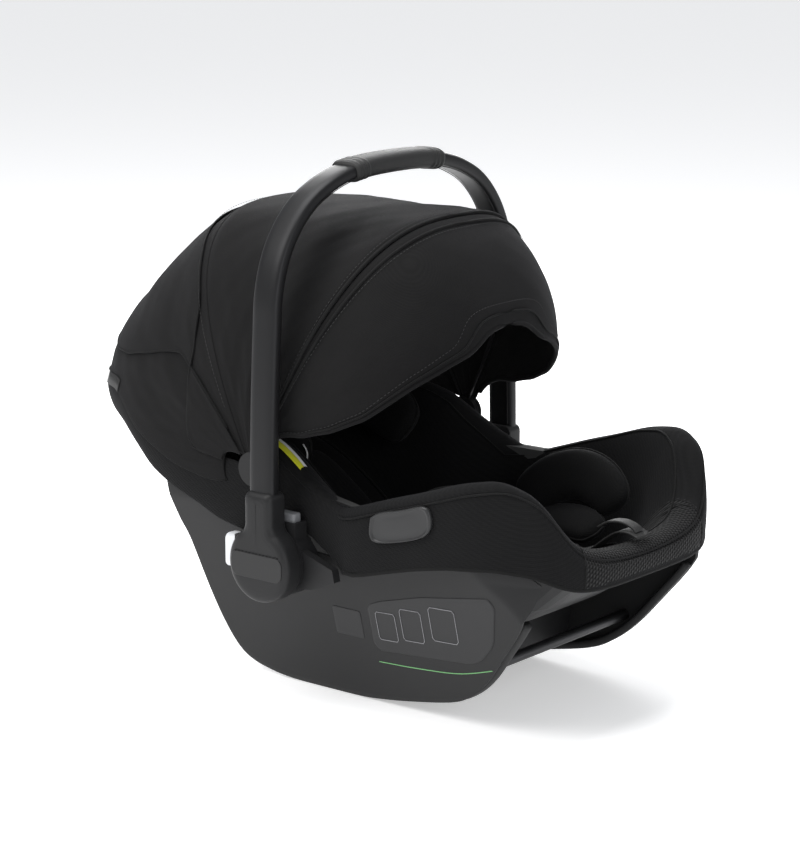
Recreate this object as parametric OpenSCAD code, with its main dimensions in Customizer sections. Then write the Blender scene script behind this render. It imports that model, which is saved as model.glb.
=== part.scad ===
/* [Overall] */
// Length from the foot end to the head end
seat_length = 690; // [620:5:830]
// Width across the fabric at its widest
cover_width = 380; // [340:2:460]
// Height of the grip's top above the floor
grip_top = 573; // [560:1:690]

/* [Rockers] */
// How far each rail's inner edge stands in from the fabric's widest place
rail_inset = 84; // [70:1:100]
// Width of the rail that stands on the floor
rail_width = 12; // [8:1:16]
// Thickness of the rocker walls
rocker_wall = 3.6; // [2.5:0.1:5]
// Radius of the latch bars
bar_radius = 6; // [4:0.5:8]

/* [Seat layers] */
// Thickness of the seat cover where the child lies
cover_layer = 5; // [3:0.5:8]
// Thickness of the cover's outer band
band_layer = 4; // [2:0.5:5]
// Thickness of the foam liner
foam_layer = 15; // [8:0.5:18]
// Thickness of the plastic tub
tub_layer = 3.6; // [2.5:0.1:5]
// Thickness of the newborn insert
insert_layer = 16; // [8:1:20]

/* [Handle] */
// Depth of the handle tube, front to back
tube_depth = 33; // [24:1:36]
// Thickness of the handle tube, side to side
tube_thick = 16; // [12:0.5:18]
// Length of the grip
grip_length = 154; // [120:2:170]
// Height of the grip's section
grip_thick = 23; // [21:0.5:26]
// How far the handle swings each way
handle_swing = 100; // [60:5:110]

/* [Hubs] */
// Height of the handle's axis above the floor
hub_height = 158; // [150:1:170]
// Radius of the hub discs
hub_radius = 41.5; // [34:0.5:44]
// Thickness of the hub discs
hub_thick = 23; // [21:0.5:28]
// Radius of the handle's axle pins
axle_radius = 8; // [6:0.5:10]
// Space between the fabric's widest place and the handle's discs
arm_gap = 6; // [5:0.5:9]

/* [Canopy] */
// Distance of the canopy's axis behind the handle's axis
pivot_y = 35; // [30:1:40]
// Height of the canopy's axis above the floor
pivot_z = 250; // [245:1:256]
// Radius of the fixed rear panel
canopy_radius = 288.5; // [260:0.5:290]
// Thickness of each canopy panel
canopy_wall = 3; // [2:0.2:3.4]
// Radius of the canopy's pivot pins
pivot_radius = 5; // [3.5:0.5:7]
// Width of each bow, as an angle about the pivot
bow_angle = 2.2; // [1.5:0.1:3]

/* [Buttons] */
// How far a release button goes in
button_travel = 5; // [3:0.5:6]
// Height of a release button
button_height = 36; // [28:1:40]
// How far a top tab goes in
tab_travel = 3; // [2:0.5:4]

/* [Clearances] */
// Gap between pieces that seat on each other
seat_gap = 0.3; // [0.2:0.05:0.5]
// Running clearance of a pin in its bore
pin_gap = 0.05; // [0.03:0.01:0.1]
// Gap between canopy panels that slide inside each other
panel_gap = 0.7; // [0.5:0.1:1.2]

/* [Hidden] */
$fn = 64;
eps = 0.01;
half_length = seat_length / 2;
half_width = cover_width / 2;

// Outlines as [fraction of the half length, height]
rim_line = [[-1, 196], [-0.93, 262], [-0.84, 279], [-0.72, 272], [-0.58, 257], [-0.46, 246],
            [-0.25, 222], [-0.1, 222], [0, 240], [0.1, 262], [0.2, 280], [0.35, 288], [1, 286]];
floor_line = [[-1, 178], [-0.87, 160], [-0.58, 112], [-0.29, 80], [-0.1, 74],
              [0.12, 98], [0.43, 176], [0.72, 236], [1, 264]];
hem_line = [[-1, 168], [-0.88, 186], [-0.74, 190], [-0.53, 177], [-0.31, 160], [-0.22, 158],
            [-0.15, 203], [0.15, 204], [0.3, 214], [0.55, 236], [1, 256]];
// The band is full width ahead of the hubs and narrower where the canopy passes outside it
waist = 0.885;
waist_line = [[-0.29, 1], [-0.15, waist], [1, waist]];
foot_power = 4.4;
head_power = 3;
around = 60;

function mix(a, b, t) = a + (b - a) * t;
function lift(c, p) = sign(c) * pow(abs(c), 2 / p);
function smooth(t) = let (u = min(1, max(0, t))) u * u * (3 - 2 * u);
function outline(a) =
    let (p = sin(a) < 0 ? foot_power : head_power,
         reach = sin(a) < 0 ? half_length : half_length - canopy_wall - seat_gap,
         y = reach * lift(sin(a), p))
    [half_width * lift(cos(a), p) * lookup(y / half_length, waist_line), y];
function inset(p, u) = p * (1 - u / norm(p));
lip_half_width = 150;
lip_top = 194;
// The foot end dips between its two raised corners
function rim_z(p) =
    let (z = lookup(p[1] / half_length, rim_line),
         foot = smooth((-p[1] / half_length - 0.6) / 0.3))
    mix(z, mix(lip_top, z, smooth(abs(p[0]) / lip_half_width)), foot);
function floor_z(y) = lookup(y / half_length, floor_line);
function hem_z(y) = lookup(y / half_length, hem_line);

// The surface that the child lies on, from the rim (0) to the middle (last):
// [inset, share of the way down to the floor, outward part and downward part of a layer's offset]
basin = [[37, 0, 1, 0], [43, 0.1, 1, 0.1], [66, 0.55, 0.86, 0.5], [90, 0.85, 0.6, 0.8],
         [118, 0.97, 0.3, 0.95]];
middle = [0.82, 0.64, 0.47, 0.31, 0.16, 0.04];
deepest_share = 0.6;
rim_drop = 10;
function basin_point(a, k, d) =
    let (p = outline(a), last = len(basin))
    k < last
        ? let (b = basin[k], u = min(b[0], deepest_share * norm(p)), q = inset(p, u - d * b[2]),
               base = inset(p, u))
          [q[0], q[1], mix(rim_z(p) - rim_drop, floor_z(base[1]), b[1]) - d * b[3]]
        : let (edge = inset(p, min(basin[last - 1][0], deepest_share * norm(p))),
               q = edge * middle[k - last])
          [q[0], q[1], floor_z(q[1]) - d];
steps = len(basin) + len(middle);
function basin_ring(k, d) = [for (i = [0:around - 1]) basin_point(360 * i / around, k, d)];

// A closed solid through rings of points that each run round once. The quads of the first
// few rings, up to turn, are cut along the other diagonal, so that nested layers match.
module skin(rings, turn = 0) {
    n = len(rings[0]);
    m = len(rings);
    points = [for (r = rings) each r];
    sides = [for (j = [0:m - 2], i = [0:n - 1])
        let (p = j * n + i, q = j * n + (i + 1) % n, r = q + n, s = p + n)
        each j < turn - 1 ? [[p, q, r], [p, r, s]] : [[p, q, s], [q, r, s]]];
    ends = [[for (i = [n - 1:-1:0]) i], [for (i = [0:n - 1]) (m - 1) * n + i]];
    polyhedron(points, concat(sides, ends), convexity = 6);
}

// A closed solid through a loop of rings, as a hollow band is
module hoop(rings) {
    n = len(rings[0]);
    m = len(rings);
    points = [for (r = rings) each r];
    faces = [for (j = [0:m - 1], i = [0:n - 1])
        let (k = (j + 1) % m, h = (i + 1) % n)
        each [[j * n + i, j * n + h, k * n + i], [j * n + h, k * n + h, k * n + i]]];
    polyhedron(points, faces, convexity = 6);
}

module basin_layer(from, to, first = 0) {
    skin(concat(
        [for (k = [steps - 1:-1:first]) basin_ring(k, to)],
        [for (k = [first:steps - 1]) basin_ring(k, from)]), turn = steps - first);
}

// ---- rockers
wall_top_x = half_width - 15;
lean_height = 200;
lean_power = 0.8;
rail_half_gap = half_width - rail_inset;
rail_outer = rail_half_gap + rail_width;
rail_height = 9;
function wall_x(z) = rail_outer + (wall_top_x - rail_outer) * pow(z / lean_height, lean_power);
wall_heights = [for (z = [0:20:240]) z];
rock = seat_length / 690;
rocker_side = [
    [-312, 170], [-304, 148], [-288, 120], [-262, 86], [-236, 54], [-212, 33], [-186, 22], [-130, 10.5],
    [-88, 3.6], [-58, 0], [36, 0], [66, 4.5], [92, 13], [108, 27], [122, 54], [133, 92], [146, 128],
    [163, 160], [186, 196], [150, 200], [90, 184], [62, 174], [52, 168], [-46, 168], [-66, 160],
    [-110, 168], [-150, 178], [-190, 190], [-240, 196], [-268, 184], [-296, 174]];

module along_length(length) {
    rotate([90, 0, 0]) linear_extrude(height = length, center = true) children();
}
module across_width(from, width) {
    translate([from, 0, 0]) rotate([90, 0, 90]) linear_extrude(height = width) children();
}
module rocker_right() {
    color([0.16, 0.16, 0.165]) intersection() {
        along_length(2 * seat_length) union() {
            polygon(concat([for (z = wall_heights) [wall_x(z), z]],
                           [for (i = [len(wall_heights) - 1:-1:0])
                               [wall_x(wall_heights[i]) - rocker_wall, wall_heights[i]]]));
            translate([rail_half_gap, 0]) square([rail_width - 1, rail_height]);
        }
        across_width(0, half_width) polygon([for (p = rocker_side) [p[0] * rock, p[1]]]);
    }
}

// ---- cross members and latch bars between the walls
bar_places = [[-223 * rock, 64], [72 * rock, 56]];
member_places = [-150 * rock, 40 * rock];
member_thick = 4;
member_low = 20;
module latch_bar(place) {
    reach = wall_x(place[1] - bar_radius) - rocker_wall - 2 * seat_gap;
    color([0.62, 0.62, 0.64]) translate([-reach, place[0], place[1]]) rotate([0, 90, 0])
        cylinder(r = bar_radius, h = 2 * reach);
}
layers_deep = cover_layer + foam_layer + tub_layer + 2 * seat_gap;
module cross_member(y) {
    top = floor_z(y) - layers_deep - seat_gap - 0.4;
    side = [for (z = [member_low:10:top]) [wall_x(z) - rocker_wall - seat_gap - 0.5, z]];
    last = side[len(side) - 1];
    color([0.14, 0.14, 0.145]) translate([0, y, 0]) rotate([90, 0, 0])
        linear_extrude(height = member_thick, center = true)
            polygon(concat(side, [[last[0] - 40, last[1]], [45, top], [-45, top], [40 - last[0], last[1]]],
                           [for (i = [len(side) - 1:-1:0]) [-side[i][0], side[i][1]]]));
}

// ---- seat layers
module seat_tub() {
    color([0.12, 0.12, 0.125])
        basin_layer(cover_layer + foam_layer + 2 * seat_gap, layers_deep);
}
module foam_liner() {
    color([0.3, 0.3, 0.3]) basin_layer(cover_layer + seat_gap, cover_layer + seat_gap + foam_layer);
}
function band_ring(u, drop) = [for (i = [0:around - 1])
    let (p = outline(360 * i / around), q = inset(p, u)) [q[0], q[1], rim_z(p) - drop]];
function hem_ring(u) = [for (i = [0:around - 1])
    let (p = outline(360 * i / around), q = inset(p, u)) [q[0], q[1], hem_z(p[1])]];
module seat_cover() {
    color([0.045, 0.045, 0.05]) skin(concat(
        [for (k = [steps - 1:-1:0]) basin_ring(k, cover_layer)],
        [band_ring(27, 6), band_ring(12, 5.5), band_ring(band_layer + 2, 10), band_ring(band_layer, 15)],
        [hem_ring(band_layer), hem_ring(0)],
        [band_ring(0, 14), band_ring(3, 6), band_ring(12, 0.5), band_ring(27, 0)],
        [for (k = [0:steps - 1]) basin_ring(k, 0)]), turn = steps);
}
module body_insert() {
    color([0.05, 0.05, 0.055]) basin_layer(-insert_layer, -seat_gap, 3);
}

// ---- hubs on the shell
hub_inner = half_width + arm_gap;
housing_radius = hub_radius - 1.5;
button_width = 20;
button_depth = 22;
button_y = 39;
button_x = hub_inner - 13;
tab_x = hub_inner - 11;
tab_size = [13, 28, 16];
neck_thick = 18;
tab_y = -13;
tab_z = hub_height + hub_radius + 4;
neck_half = tab_size[1] / 2 + 4;
module rounded_slab(size, r) {
    linear_extrude(height = size[2]) union() {
        square([size[0] - 2 * r, size[1]], center = true);
        square([size[0], size[1] - 2 * r], center = true);
        for (x = [-1, 1], y = [-1, 1])
            translate([x * (size[0] / 2 - r), y * (size[1] / 2 - r)]) circle(r);
    }
}
module housing_right() {
    button_room = [button_width + 2 * seat_gap, button_depth + button_travel + 20,
        button_height + 2 * seat_gap];
    tab_room = [tab_size[0] + 2 * seat_gap, tab_size[1] + 2 * seat_gap, 60];
    color([0.1, 0.1, 0.105]) difference() {
        union() {
            translate([100, 0, hub_height]) rotate([0, 90, 0])
                cylinder(r = housing_radius, h = hub_inner - seat_gap - 100);
            across_width(tab_x - 8.8, neck_thick) polygon([[tab_y - neck_half, hub_height], [20, hub_height],
                [16, tab_z - 16], [tab_y + neck_half, tab_z - 1], [tab_y - neck_half, tab_z - 1]]);
            across_width(button_x - 12.5, 24.5) polygon([[0, hub_height - 22], [54, hub_height - 20],
                [54, hub_height + 20], [0, hub_height + 26]]);
            across_width(hub_inner - 14, 10)
                polygon([[0, 128], [-50, 134], [-82, 147], [-79, 160], [0, 186]]);
        }
        along_length(300) polygon(concat([[0, 0]],
            [for (z = wall_heights) [wall_x(z) + seat_gap, z]], [[0, 240]]));
        translate([button_x, button_y + 10 - button_travel + seat_gap, hub_height])
            cube(button_room, center = true);
        translate([tab_x, tab_y, tab_z - tab_size[2] / 2 + 30 - tab_travel - seat_gap])
            cube(tab_room, center = true);
        translate([100, 0, hub_height]) rotate([0, 90, 0]) cylinder(r = axle_radius + pin_gap, h = hub_inner);
    }
}
axle_length = 34;
module axle_right() {
    color([0.6, 0.6, 0.62]) translate([hub_inner - 17, 0, hub_height]) rotate([0, 90, 0])
        cylinder(r = axle_radius, h = axle_length);
}
module release_button_right() {
    color([0.72, 0.72, 0.73]) translate([button_x, button_y + button_depth, hub_height]) rotate([90, 0, 0])
        rounded_slab([button_width, button_height, button_depth - 7], 5);
}
module top_tab_right() {
    color([0.42, 0.42, 0.43]) translate([tab_x, tab_y, tab_z - tab_size[2] / 2]) rounded_slab(tab_size, 4);
}

// A spring wound along its axis, resting on both ends
module coil(radius, wire, length, turns) {
    per_turn = 10;
    count = turns * per_turn;
    skin([for (i = [0:count])
        let (a = 360 * i / per_turn, z = wire / 2 + (length - wire) * i / count)
        [for (j = [0:5]) let (b = 60 * j)
            [(radius + wire / 2 * cos(b)) * cos(a), (radius + wire / 2 * cos(b)) * sin(a),
             z - wire / 2 * sin(b)]]]);
}
spring_wire = 1;
module release_spring_right() {
    button_back = button_y + 7;
    room = button_back - (button_y + 10 - button_travel + seat_gap - (button_depth + button_travel + 20) / 2);
    color([0.7, 0.7, 0.72]) translate([button_x, button_back - seat_gap, hub_height]) rotate([90, 0, 0])
        coil(5, spring_wire, room - 2 * seat_gap, 5);
}

// ---- handle
leg_x = hub_inner + hub_thick / 2;
leg_lean = 7;
leg_top_x = leg_x - leg_lean;
leg_start = hub_height + 44;
socket_top = hub_height + 77;
bend_start = 404;
bend_power = 2.7;
tube_top = grip_top - grip_thick / 2;
function bend(t) = [leg_top_x * lift(cos(t), bend_power),
    bend_start + (tube_top - bend_start) * lift(sin(t), bend_power)];
leg_path = [[leg_x, leg_start], [leg_x, socket_top + 4], [leg_x - leg_lean / 6, 290],
    [leg_x - leg_lean / 2, 345]];
bend_angles = [0, 8, 14, 20, 25, 30, 35, 40, 45, 50, 55, 60, 66, 72, 79, 85];
right_path = concat(leg_path, [for (t = bend_angles) bend(t)]);
handle_path = concat(right_path, [[0, tube_top]],
    [for (i = [len(right_path) - 1:-1:0]) [-right_path[i][0], right_path[i][1]]]);
function unit(v) = v / norm(v);
function path_ring(path, i, thick, depth, power) =
    let (p = path[i], ahead = path[min(i + 1, len(path) - 1)], behind = path[max(i - 1, 0)],
         t = unit(ahead - behind), n = [-t[1], t[0]])
    [for (j = [0:15])
        let (a = 360 * j / 16, u = thick / 2 * lift(cos(a), power), v = depth / 2 * lift(sin(a), power))
        [p[0] + n[0] * u, v, p[1] + n[1] * u]];
module handle_tube() {
    color([0.05, 0.05, 0.055])
        skin([for (i = [0:len(handle_path) - 1]) path_ring(handle_path, i, tube_thick, tube_depth, 3.4)]);
}
module handle_grip() {
    reach = grip_length / 2;
    grip_path = [for (x = [reach, reach * 0.94, reach * 0.5, 0, -reach * 0.5, -reach * 0.94, -reach])
        let (t = acos(pow(abs(x) / leg_top_x, bend_power / 2))) [x, bend(t)[1]]];
    swell = [0.93, 1, 1, 1, 1, 1, 0.93];
    last = len(grip_path) - 1;
    color([0.07, 0.07, 0.07]) hoop(concat(
        [for (i = [0:last]) path_ring(grip_path, i, grip_thick * swell[i], (tube_depth + 7) * swell[i], 2.6)],
        [for (i = [last:-1:0]) path_ring(grip_path, i, tube_thick + 1.6, tube_depth + 1.6, 3.2)]));
}
socket_depth = 37;
cap_thick = 3;
module hub_arm_right() {
    color([0.09, 0.09, 0.095]) translate([hub_inner, 0, 0]) difference() {
        union() {
            translate([0, 0, hub_height]) rotate([0, 90, 0]) cylinder(r = hub_radius, h = hub_thick);
            across_width(0, hub_thick) polygon([[-hub_radius + 4, hub_height + 12],
                [hub_radius - 4, hub_height + 12],
                [socket_depth / 2 + 1, hub_height + 44], [socket_depth / 2, socket_top],
                [-socket_depth / 2, socket_top], [-socket_depth / 2 - 1, hub_height + 44]]);
        }
        translate([-1, 0, hub_height]) rotate([0, 90, 0])
            cylinder(r = axle_radius + pin_gap, h = axle_length - 16 + 1);
        translate([hub_thick / 2, 0, (leg_start + socket_top) / 2 + 4]) cube([tube_thick + 2 * seat_gap,
            tube_depth + 2 * seat_gap, socket_top - leg_start + 8 + 2 * seat_gap], center = true);
        translate([-1, 0, hub_height + 67]) rotate([0, 90, 0]) cylinder(r = 2.6, h = 8);
    }
}
module hub_cap_right() {
    color([0.13, 0.13, 0.135])
        translate([hub_inner + hub_thick + seat_gap, 0, hub_height]) rotate([0, 90, 0])
            cylinder(r = hub_radius - 4, h = cap_thick);
}
module socket_screws() {
    for (side = [-1, 1]) color([0.6, 0.6, 0.62])
        translate([side * (hub_inner + 0.5), 0, hub_height + 67]) rotate([0, side * 90, 0]) difference() {
            cylinder(r = 2.5, h = 2.6);
            translate([0, 0, -eps]) cylinder(r = 1.3, h = 1.4, $fn = 6);
        }
}

// ---- canopy: panels turned about one axis, each inside the next
canopy_power = 2.7;
panel_start = 19;
eye_radius = 18;
rear_side = half_width - 2;
panel_step = canopy_wall + panel_gap;
radius_step = 5;
visor_radius = canopy_radius - 24;
front_edge = -26;
rear_edge = 27;
tail_edge = 80;
visor_edge = -53.5;
edge_gap = 0.25;
function arc_side(a, side, radius) =
    let (r = radius * lift(sin(a), canopy_power)) [r, side * lift(cos(a), canopy_power)];
module canopy_sector(from, to, side, radius, start) {
    low = asin(pow(start / radius, canopy_power / 2));
    angles = [for (i = [0:24]) low + (180 - 2 * low) * i / 24];
    outer = [for (a = angles) arc_side(a, side, radius)];
    inner = [for (i = [24:-1:0])
        let (a = angles[i], p = arc_side(a, side - canopy_wall, radius - canopy_wall))
        [max(p[0], start), p[1]]];
    translate([0, pivot_y, pivot_z]) rotate([0, 90, 0]) rotate([0, 0, 180 - to])
        rotate_extrude(angle = to - from) polygon(concat(outer, inner));
}
module pivot_eyes(side) {
    for (s = [-1, 1]) translate([s * (side - canopy_wall / 2), pivot_y, pivot_z]) rotate([0, 90, 0])
        cylinder(r = eye_radius, h = canopy_wall, center = true);
}
module bow(from, to, side, radius) {
    difference() {
        union() {
            canopy_sector(from, to, side, radius, eye_radius - 2);
            pivot_eyes(side);
        }
        translate([0, pivot_y, pivot_z]) rotate([0, 90, 0])
            cylinder(r = pivot_radius + pin_gap, h = 2 * half_width, center = true);
    }
}
mid_side = rear_side - panel_step;
mid_radius = canopy_radius - radius_step;
front_side = mid_side - panel_step;
front_radius = mid_radius - radius_step;
visor_side = front_side - panel_step;
fabric = [0.045, 0.045, 0.05];
bow_colour = [0.3, 0.3, 0.31];
module canopy_rear_panel() {
    color(fabric) canopy_sector(rear_edge + edge_gap, tail_edge, rear_side, canopy_radius, panel_start);
}
module canopy_mid_bow() {
    color(bow_colour) bow(rear_edge - bow_angle, rear_edge, mid_side, mid_radius);
}
module canopy_mid_panel() {
    color(fabric) canopy_sector(edge_gap, rear_edge - bow_angle - 0.1, mid_side, mid_radius, panel_start);
}
module canopy_front_bow() {
    color(bow_colour) bow(front_edge, front_edge + bow_angle, front_side, front_radius);
}
module canopy_front_panel() {
    color(fabric) canopy_sector(front_edge + bow_angle + 0.1, 0, front_side, front_radius, panel_start);
}
module visor_wire() {
    color(bow_colour) bow(visor_edge, visor_edge + bow_angle, visor_side, visor_radius);
}
module visor_panel() {
    color(fabric) canopy_sector(visor_edge + bow_angle + 0.1, front_edge - edge_gap,
        visor_side, visor_radius, panel_start);
}
module canopy_pivot_right() {
    inner_end = visor_side - canopy_wall - seat_gap;
    color([0.15, 0.15, 0.155]) translate([0, pivot_y, pivot_z]) rotate([0, 90, 0]) {
        translate([0, 0, half_width * waist + seat_gap])
            cylinder(r = 9, h = inner_end - half_width * waist - seat_gap);
        translate([0, 0, inner_end]) cylinder(r = pivot_radius, h = rear_side - inner_end);
        translate([0, 0, mid_side + seat_gap])
            cylinder(r = panel_start - seat_gap, h = rear_side - mid_side - seat_gap);
    }
}
skirt_line = [[0.15, 184], [0.25, 193], [0.35, 206], [0.52, 236], [0.69, 256], [1, 262]];
skirt_top = [[0.15, 227], [0.33, 235], [0.5, 248], [0.6, 268], [0.68, 290], [0.75, 300], [1, 301]];
module head_skirt() {
    reach = [for (i = [0:40]) let (a = 10 + 160 * i / 40, p = [rear_side * lift(cos(a), head_power),
        half_length * lift(sin(a), head_power)]) p];
    inner = [for (p = reach) inset(p, canopy_wall)];
    color(fabric) skin([for (i = [0:len(reach) - 1])
        let (y = reach[i][1] / half_length, low = lookup(y, skirt_line), high = lookup(y, skirt_top),
             o = reach[i], n = inner[i])
        [[o[0], o[1], low], [n[0], n[1], low], [n[0], n[1], high], [o[0], o[1], high]]]);
}

// ---- belts, buckle and small pieces on the seat
guide_y = -168 * rock;
guide_z = 224;
guide_size = [76, 44, 4];
guide_share = abs(guide_y) / half_length;
guide_x = half_width * pow(1 - pow(guide_share, foot_power), 1 / foot_power) + 0.7;
guide_slope = half_width / half_length * pow(guide_share, foot_power - 1)
    * pow(1 - pow(guide_share, foot_power), 1 / foot_power - 1);
guide_turn = -atan(guide_slope) - 0.85;
module belt_guide_right() {
    color([0.4, 0.4, 0.41]) translate([guide_x, guide_y, guide_z])
        rotate([0, 0, guide_turn]) rotate([90, 0, 90]) difference() {
            rounded_slab(guide_size, 13);
            translate([0, 0, 2.8]) rounded_slab([66, 34, 4], 10);
        }
}
insert_top = insert_layer + 1.4;
module strap(points, width, thick, height) {
    skin([for (p = points) let (z = floor_z(p[1]) + height)
        [[p[0] - width / 2, p[1], z], [p[0] + width / 2, p[1], z],
         [p[0] + width / 2, p[1], z + thick], [p[0] - width / 2, p[1], z + thick]]]);
}
strap_y = [for (y = [12:12:168]) y];
module harness_right() {
    color([0.08, 0.08, 0.08])
        strap([for (y = strap_y) [14 + 30 * smooth(y / 110), y]], 24, 1.6, insert_top + 1);
}
module shoulder_pad_right() {
    color([0.06, 0.06, 0.065])
        strap([for (y = [60:12:156]) [14 + 30 * smooth(y / 110), y]], 44, 7, insert_top + 3);
}
buckle_y = -14;
module buckle_body() {
    color([0.1, 0.1, 0.1]) translate([0, buckle_y, floor_z(buckle_y) + insert_top + 8]) difference() {
        translate([0, 0, -2]) rounded_slab([50, 46, 16.5], 9);
        translate([0, -3, 6]) rounded_slab([22, 22, 20], 4);
    }
}
module buckle_button() {
    color([0.65, 0.06, 0.05]) translate([0, buckle_y - 3, floor_z(buckle_y) + insert_top + 17.4])
        rounded_slab([22 - 2 * seat_gap, 22 - 2 * seat_gap, 6], 3.6);
}
module crotch_strap() {
    color([0.08, 0.08, 0.08]) strap([for (y = [-100:10:buckle_y - 26]) [0, y]], 38, 2, insert_top + 0.7);
}
adjuster_route = [[-193, 133], [-222, 142], [-245, 164], [-262, 172], [-280, 178], [-298, 192],
                  [-312, 200], [-326, 201], [-337, 197]];
module adjuster_strap() {
    color([0.12, 0.12, 0.12]) skin([for (p = adjuster_route) let (y = p[0] * rock)
        [[-13, y, p[1]], [13, y, p[1]], [13, y, p[1] + 1.8], [-13, y, p[1] + 1.8]]]);
}
adjuster_y = -176 * rock;
module adjuster_body() {
    color([0.09, 0.09, 0.09])
        translate([0, adjuster_y, floor_z(adjuster_y) + insert_top + 1.2]) rotate([-14, 0, 0])
        difference() {
            rounded_slab([34, 30, 10], 5);
            translate([0, 0, 6]) rounded_slab([18, 16, 20], 3);
        }
}
module adjuster_button() {
    color([0.3, 0.3, 0.3])
        translate([0, adjuster_y, floor_z(adjuster_y) + insert_top + 1.2]) rotate([-14, 0, 0])
        translate([0, 0, 8.5]) rounded_slab([18 - 2 * seat_gap, 16 - 2 * seat_gap, 4], 2.6);
}
// Two wings that follow the basin's sides round the head
wing_angles = [for (a = [24:6:84]) a];
wing_rise = 24;
module head_insert() {
    color([0.05, 0.05, 0.055]) for (s = [0, 1]) mirror([s, 0, 0]) skin([for (i = [0:len(wing_angles) - 1])
        let (a = wing_angles[i], top = 5 + wing_rise * sin(180 * i / (len(wing_angles) - 1)))
        concat([for (k = [4:-1:1]) basin_point(a, k, -seat_gap - 0.5 - (k > 2 ? insert_layer + 0.6 : 0))],
               [for (k = [1:4]) basin_point(a, k, -insert_layer - 2 - top)])]);
}
tail_length = 46;
tail_top = 94;
module strap_tail() {
    color([0.1, 0.1, 0.1])
        translate([-12, bar_places[0][0] - bar_radius - seat_gap - 2, tail_top - tail_length])
            cube([24, 2, tail_length]);
}
lever_y = 190 * rock;
lever_tilt = 31;
lever_thick = 8;
lever_drop = 1.2;
module release_lever() {
    color([0.12, 0.12, 0.12])
        translate([0, lever_y, floor_z(lever_y) - layers_deep]) rotate([lever_tilt, 0, 0])
        translate([0, 0, -lever_thick - lever_drop]) rounded_slab([90, 26, lever_thick], 8);
}

module mirrored() {
    mirror([1, 0, 0]) children();
}
mirrored() rocker_right();  // rocker_left
rocker_right();
cross_member(member_places[0]);  // cross_member_front
cross_member(member_places[1]);  // cross_member_rear
latch_bar(bar_places[0]);  // front_latch_bar
latch_bar(bar_places[1]);  // rear_latch_bar
seat_tub();
foam_liner();
seat_cover();
body_insert();
head_insert();
head_skirt();
mirrored() harness_right();  // harness_left
harness_right();
mirrored() shoulder_pad_right();  // shoulder_pad_left
shoulder_pad_right();
buckle_body();
buckle_button();
crotch_strap();
adjuster_strap();
adjuster_body();
adjuster_button();
mirrored() belt_guide_right();  // belt_guide_left
belt_guide_right();
mirrored() housing_right();  // housing_left
housing_right();
mirrored() axle_right();  // axle_left
axle_right();
mirrored() release_button_right();  // release_button_left
release_button_right();
mirrored() release_spring_right();  // release_spring_left
release_spring_right();
mirrored() top_tab_right();  // top_tab_left
top_tab_right();
handle_tube();
handle_grip();
mirrored() hub_arm_right();  // hub_arm_left
hub_arm_right();
mirrored() hub_cap_right();  // hub_cap_left
hub_cap_right();
socket_screws();
mirrored() canopy_pivot_right();  // canopy_pivot_left
canopy_pivot_right();
canopy_rear_panel();
canopy_mid_bow();
canopy_mid_panel();
canopy_front_bow();
canopy_front_panel();
visor_wire();
visor_panel();
strap_tail();
release_lever();
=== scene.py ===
import math
import bpy
import bmesh
import numpy as np
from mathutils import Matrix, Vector


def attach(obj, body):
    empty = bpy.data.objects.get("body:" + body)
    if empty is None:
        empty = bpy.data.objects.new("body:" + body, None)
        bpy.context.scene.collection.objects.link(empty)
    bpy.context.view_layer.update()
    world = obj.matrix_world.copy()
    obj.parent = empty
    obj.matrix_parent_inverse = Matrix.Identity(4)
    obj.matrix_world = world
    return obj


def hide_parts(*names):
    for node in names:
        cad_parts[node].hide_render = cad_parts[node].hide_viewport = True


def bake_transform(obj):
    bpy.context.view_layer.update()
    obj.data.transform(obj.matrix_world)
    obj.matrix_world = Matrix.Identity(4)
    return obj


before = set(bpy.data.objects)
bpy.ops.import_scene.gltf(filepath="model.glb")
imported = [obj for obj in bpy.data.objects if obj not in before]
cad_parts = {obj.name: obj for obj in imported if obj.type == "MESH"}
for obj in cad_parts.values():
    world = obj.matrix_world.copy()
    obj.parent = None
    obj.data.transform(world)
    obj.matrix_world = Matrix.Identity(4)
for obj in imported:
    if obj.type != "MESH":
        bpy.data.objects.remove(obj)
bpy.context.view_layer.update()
mm = 0.001

# camera: low, from the left of the foot end
eye = Vector((-2.288, -1.865, 0.938))
look = Vector((0.758, 0.613, -0.223)).normalized()
camData = bpy.data.cameras.new("camera")
camData.lens = 114.9
camData.sensor_width = 36
camObj = bpy.data.objects.new("camera", camData)
camObj.location = eye
camObj.rotation_euler = look.to_track_quat("-Z", "Y").to_euler()
bpy.context.scene.collection.objects.link(camObj)
bpy.context.scene.camera = camObj


# shader maths: a socket that adds its Math nodes as it is used
class Sock:
    def __init__(self, tree, link):
        self.tree, self.link = tree, link

    def math(self, operation, a, b=None, swap=False):
        node = self.tree.nodes.new("ShaderNodeMath")
        node.operation = operation
        values = [b, a] if swap else [a, b]
        for slotIn, v in zip(node.inputs, values):
            if isinstance(v, Sock):
                self.tree.links.new(v.link, slotIn)
            elif v is not None:
                slotIn.default_value = v
        return Sock(self.tree, node.outputs[0])

    def __add__(self, o):
        return self.math("ADD", self, o)

    def __radd__(self, o):
        return self.math("ADD", self, o)

    def __sub__(self, o):
        return self.math("SUBTRACT", self, o)

    def __rsub__(self, o):
        return self.math("SUBTRACT", self, o, swap=True)

    def __mul__(self, o):
        return self.math("MULTIPLY", self, o)

    def __rmul__(self, o):
        return self.math("MULTIPLY", self, o)

    def wave(self):
        return self.math("SINE", self)


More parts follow.
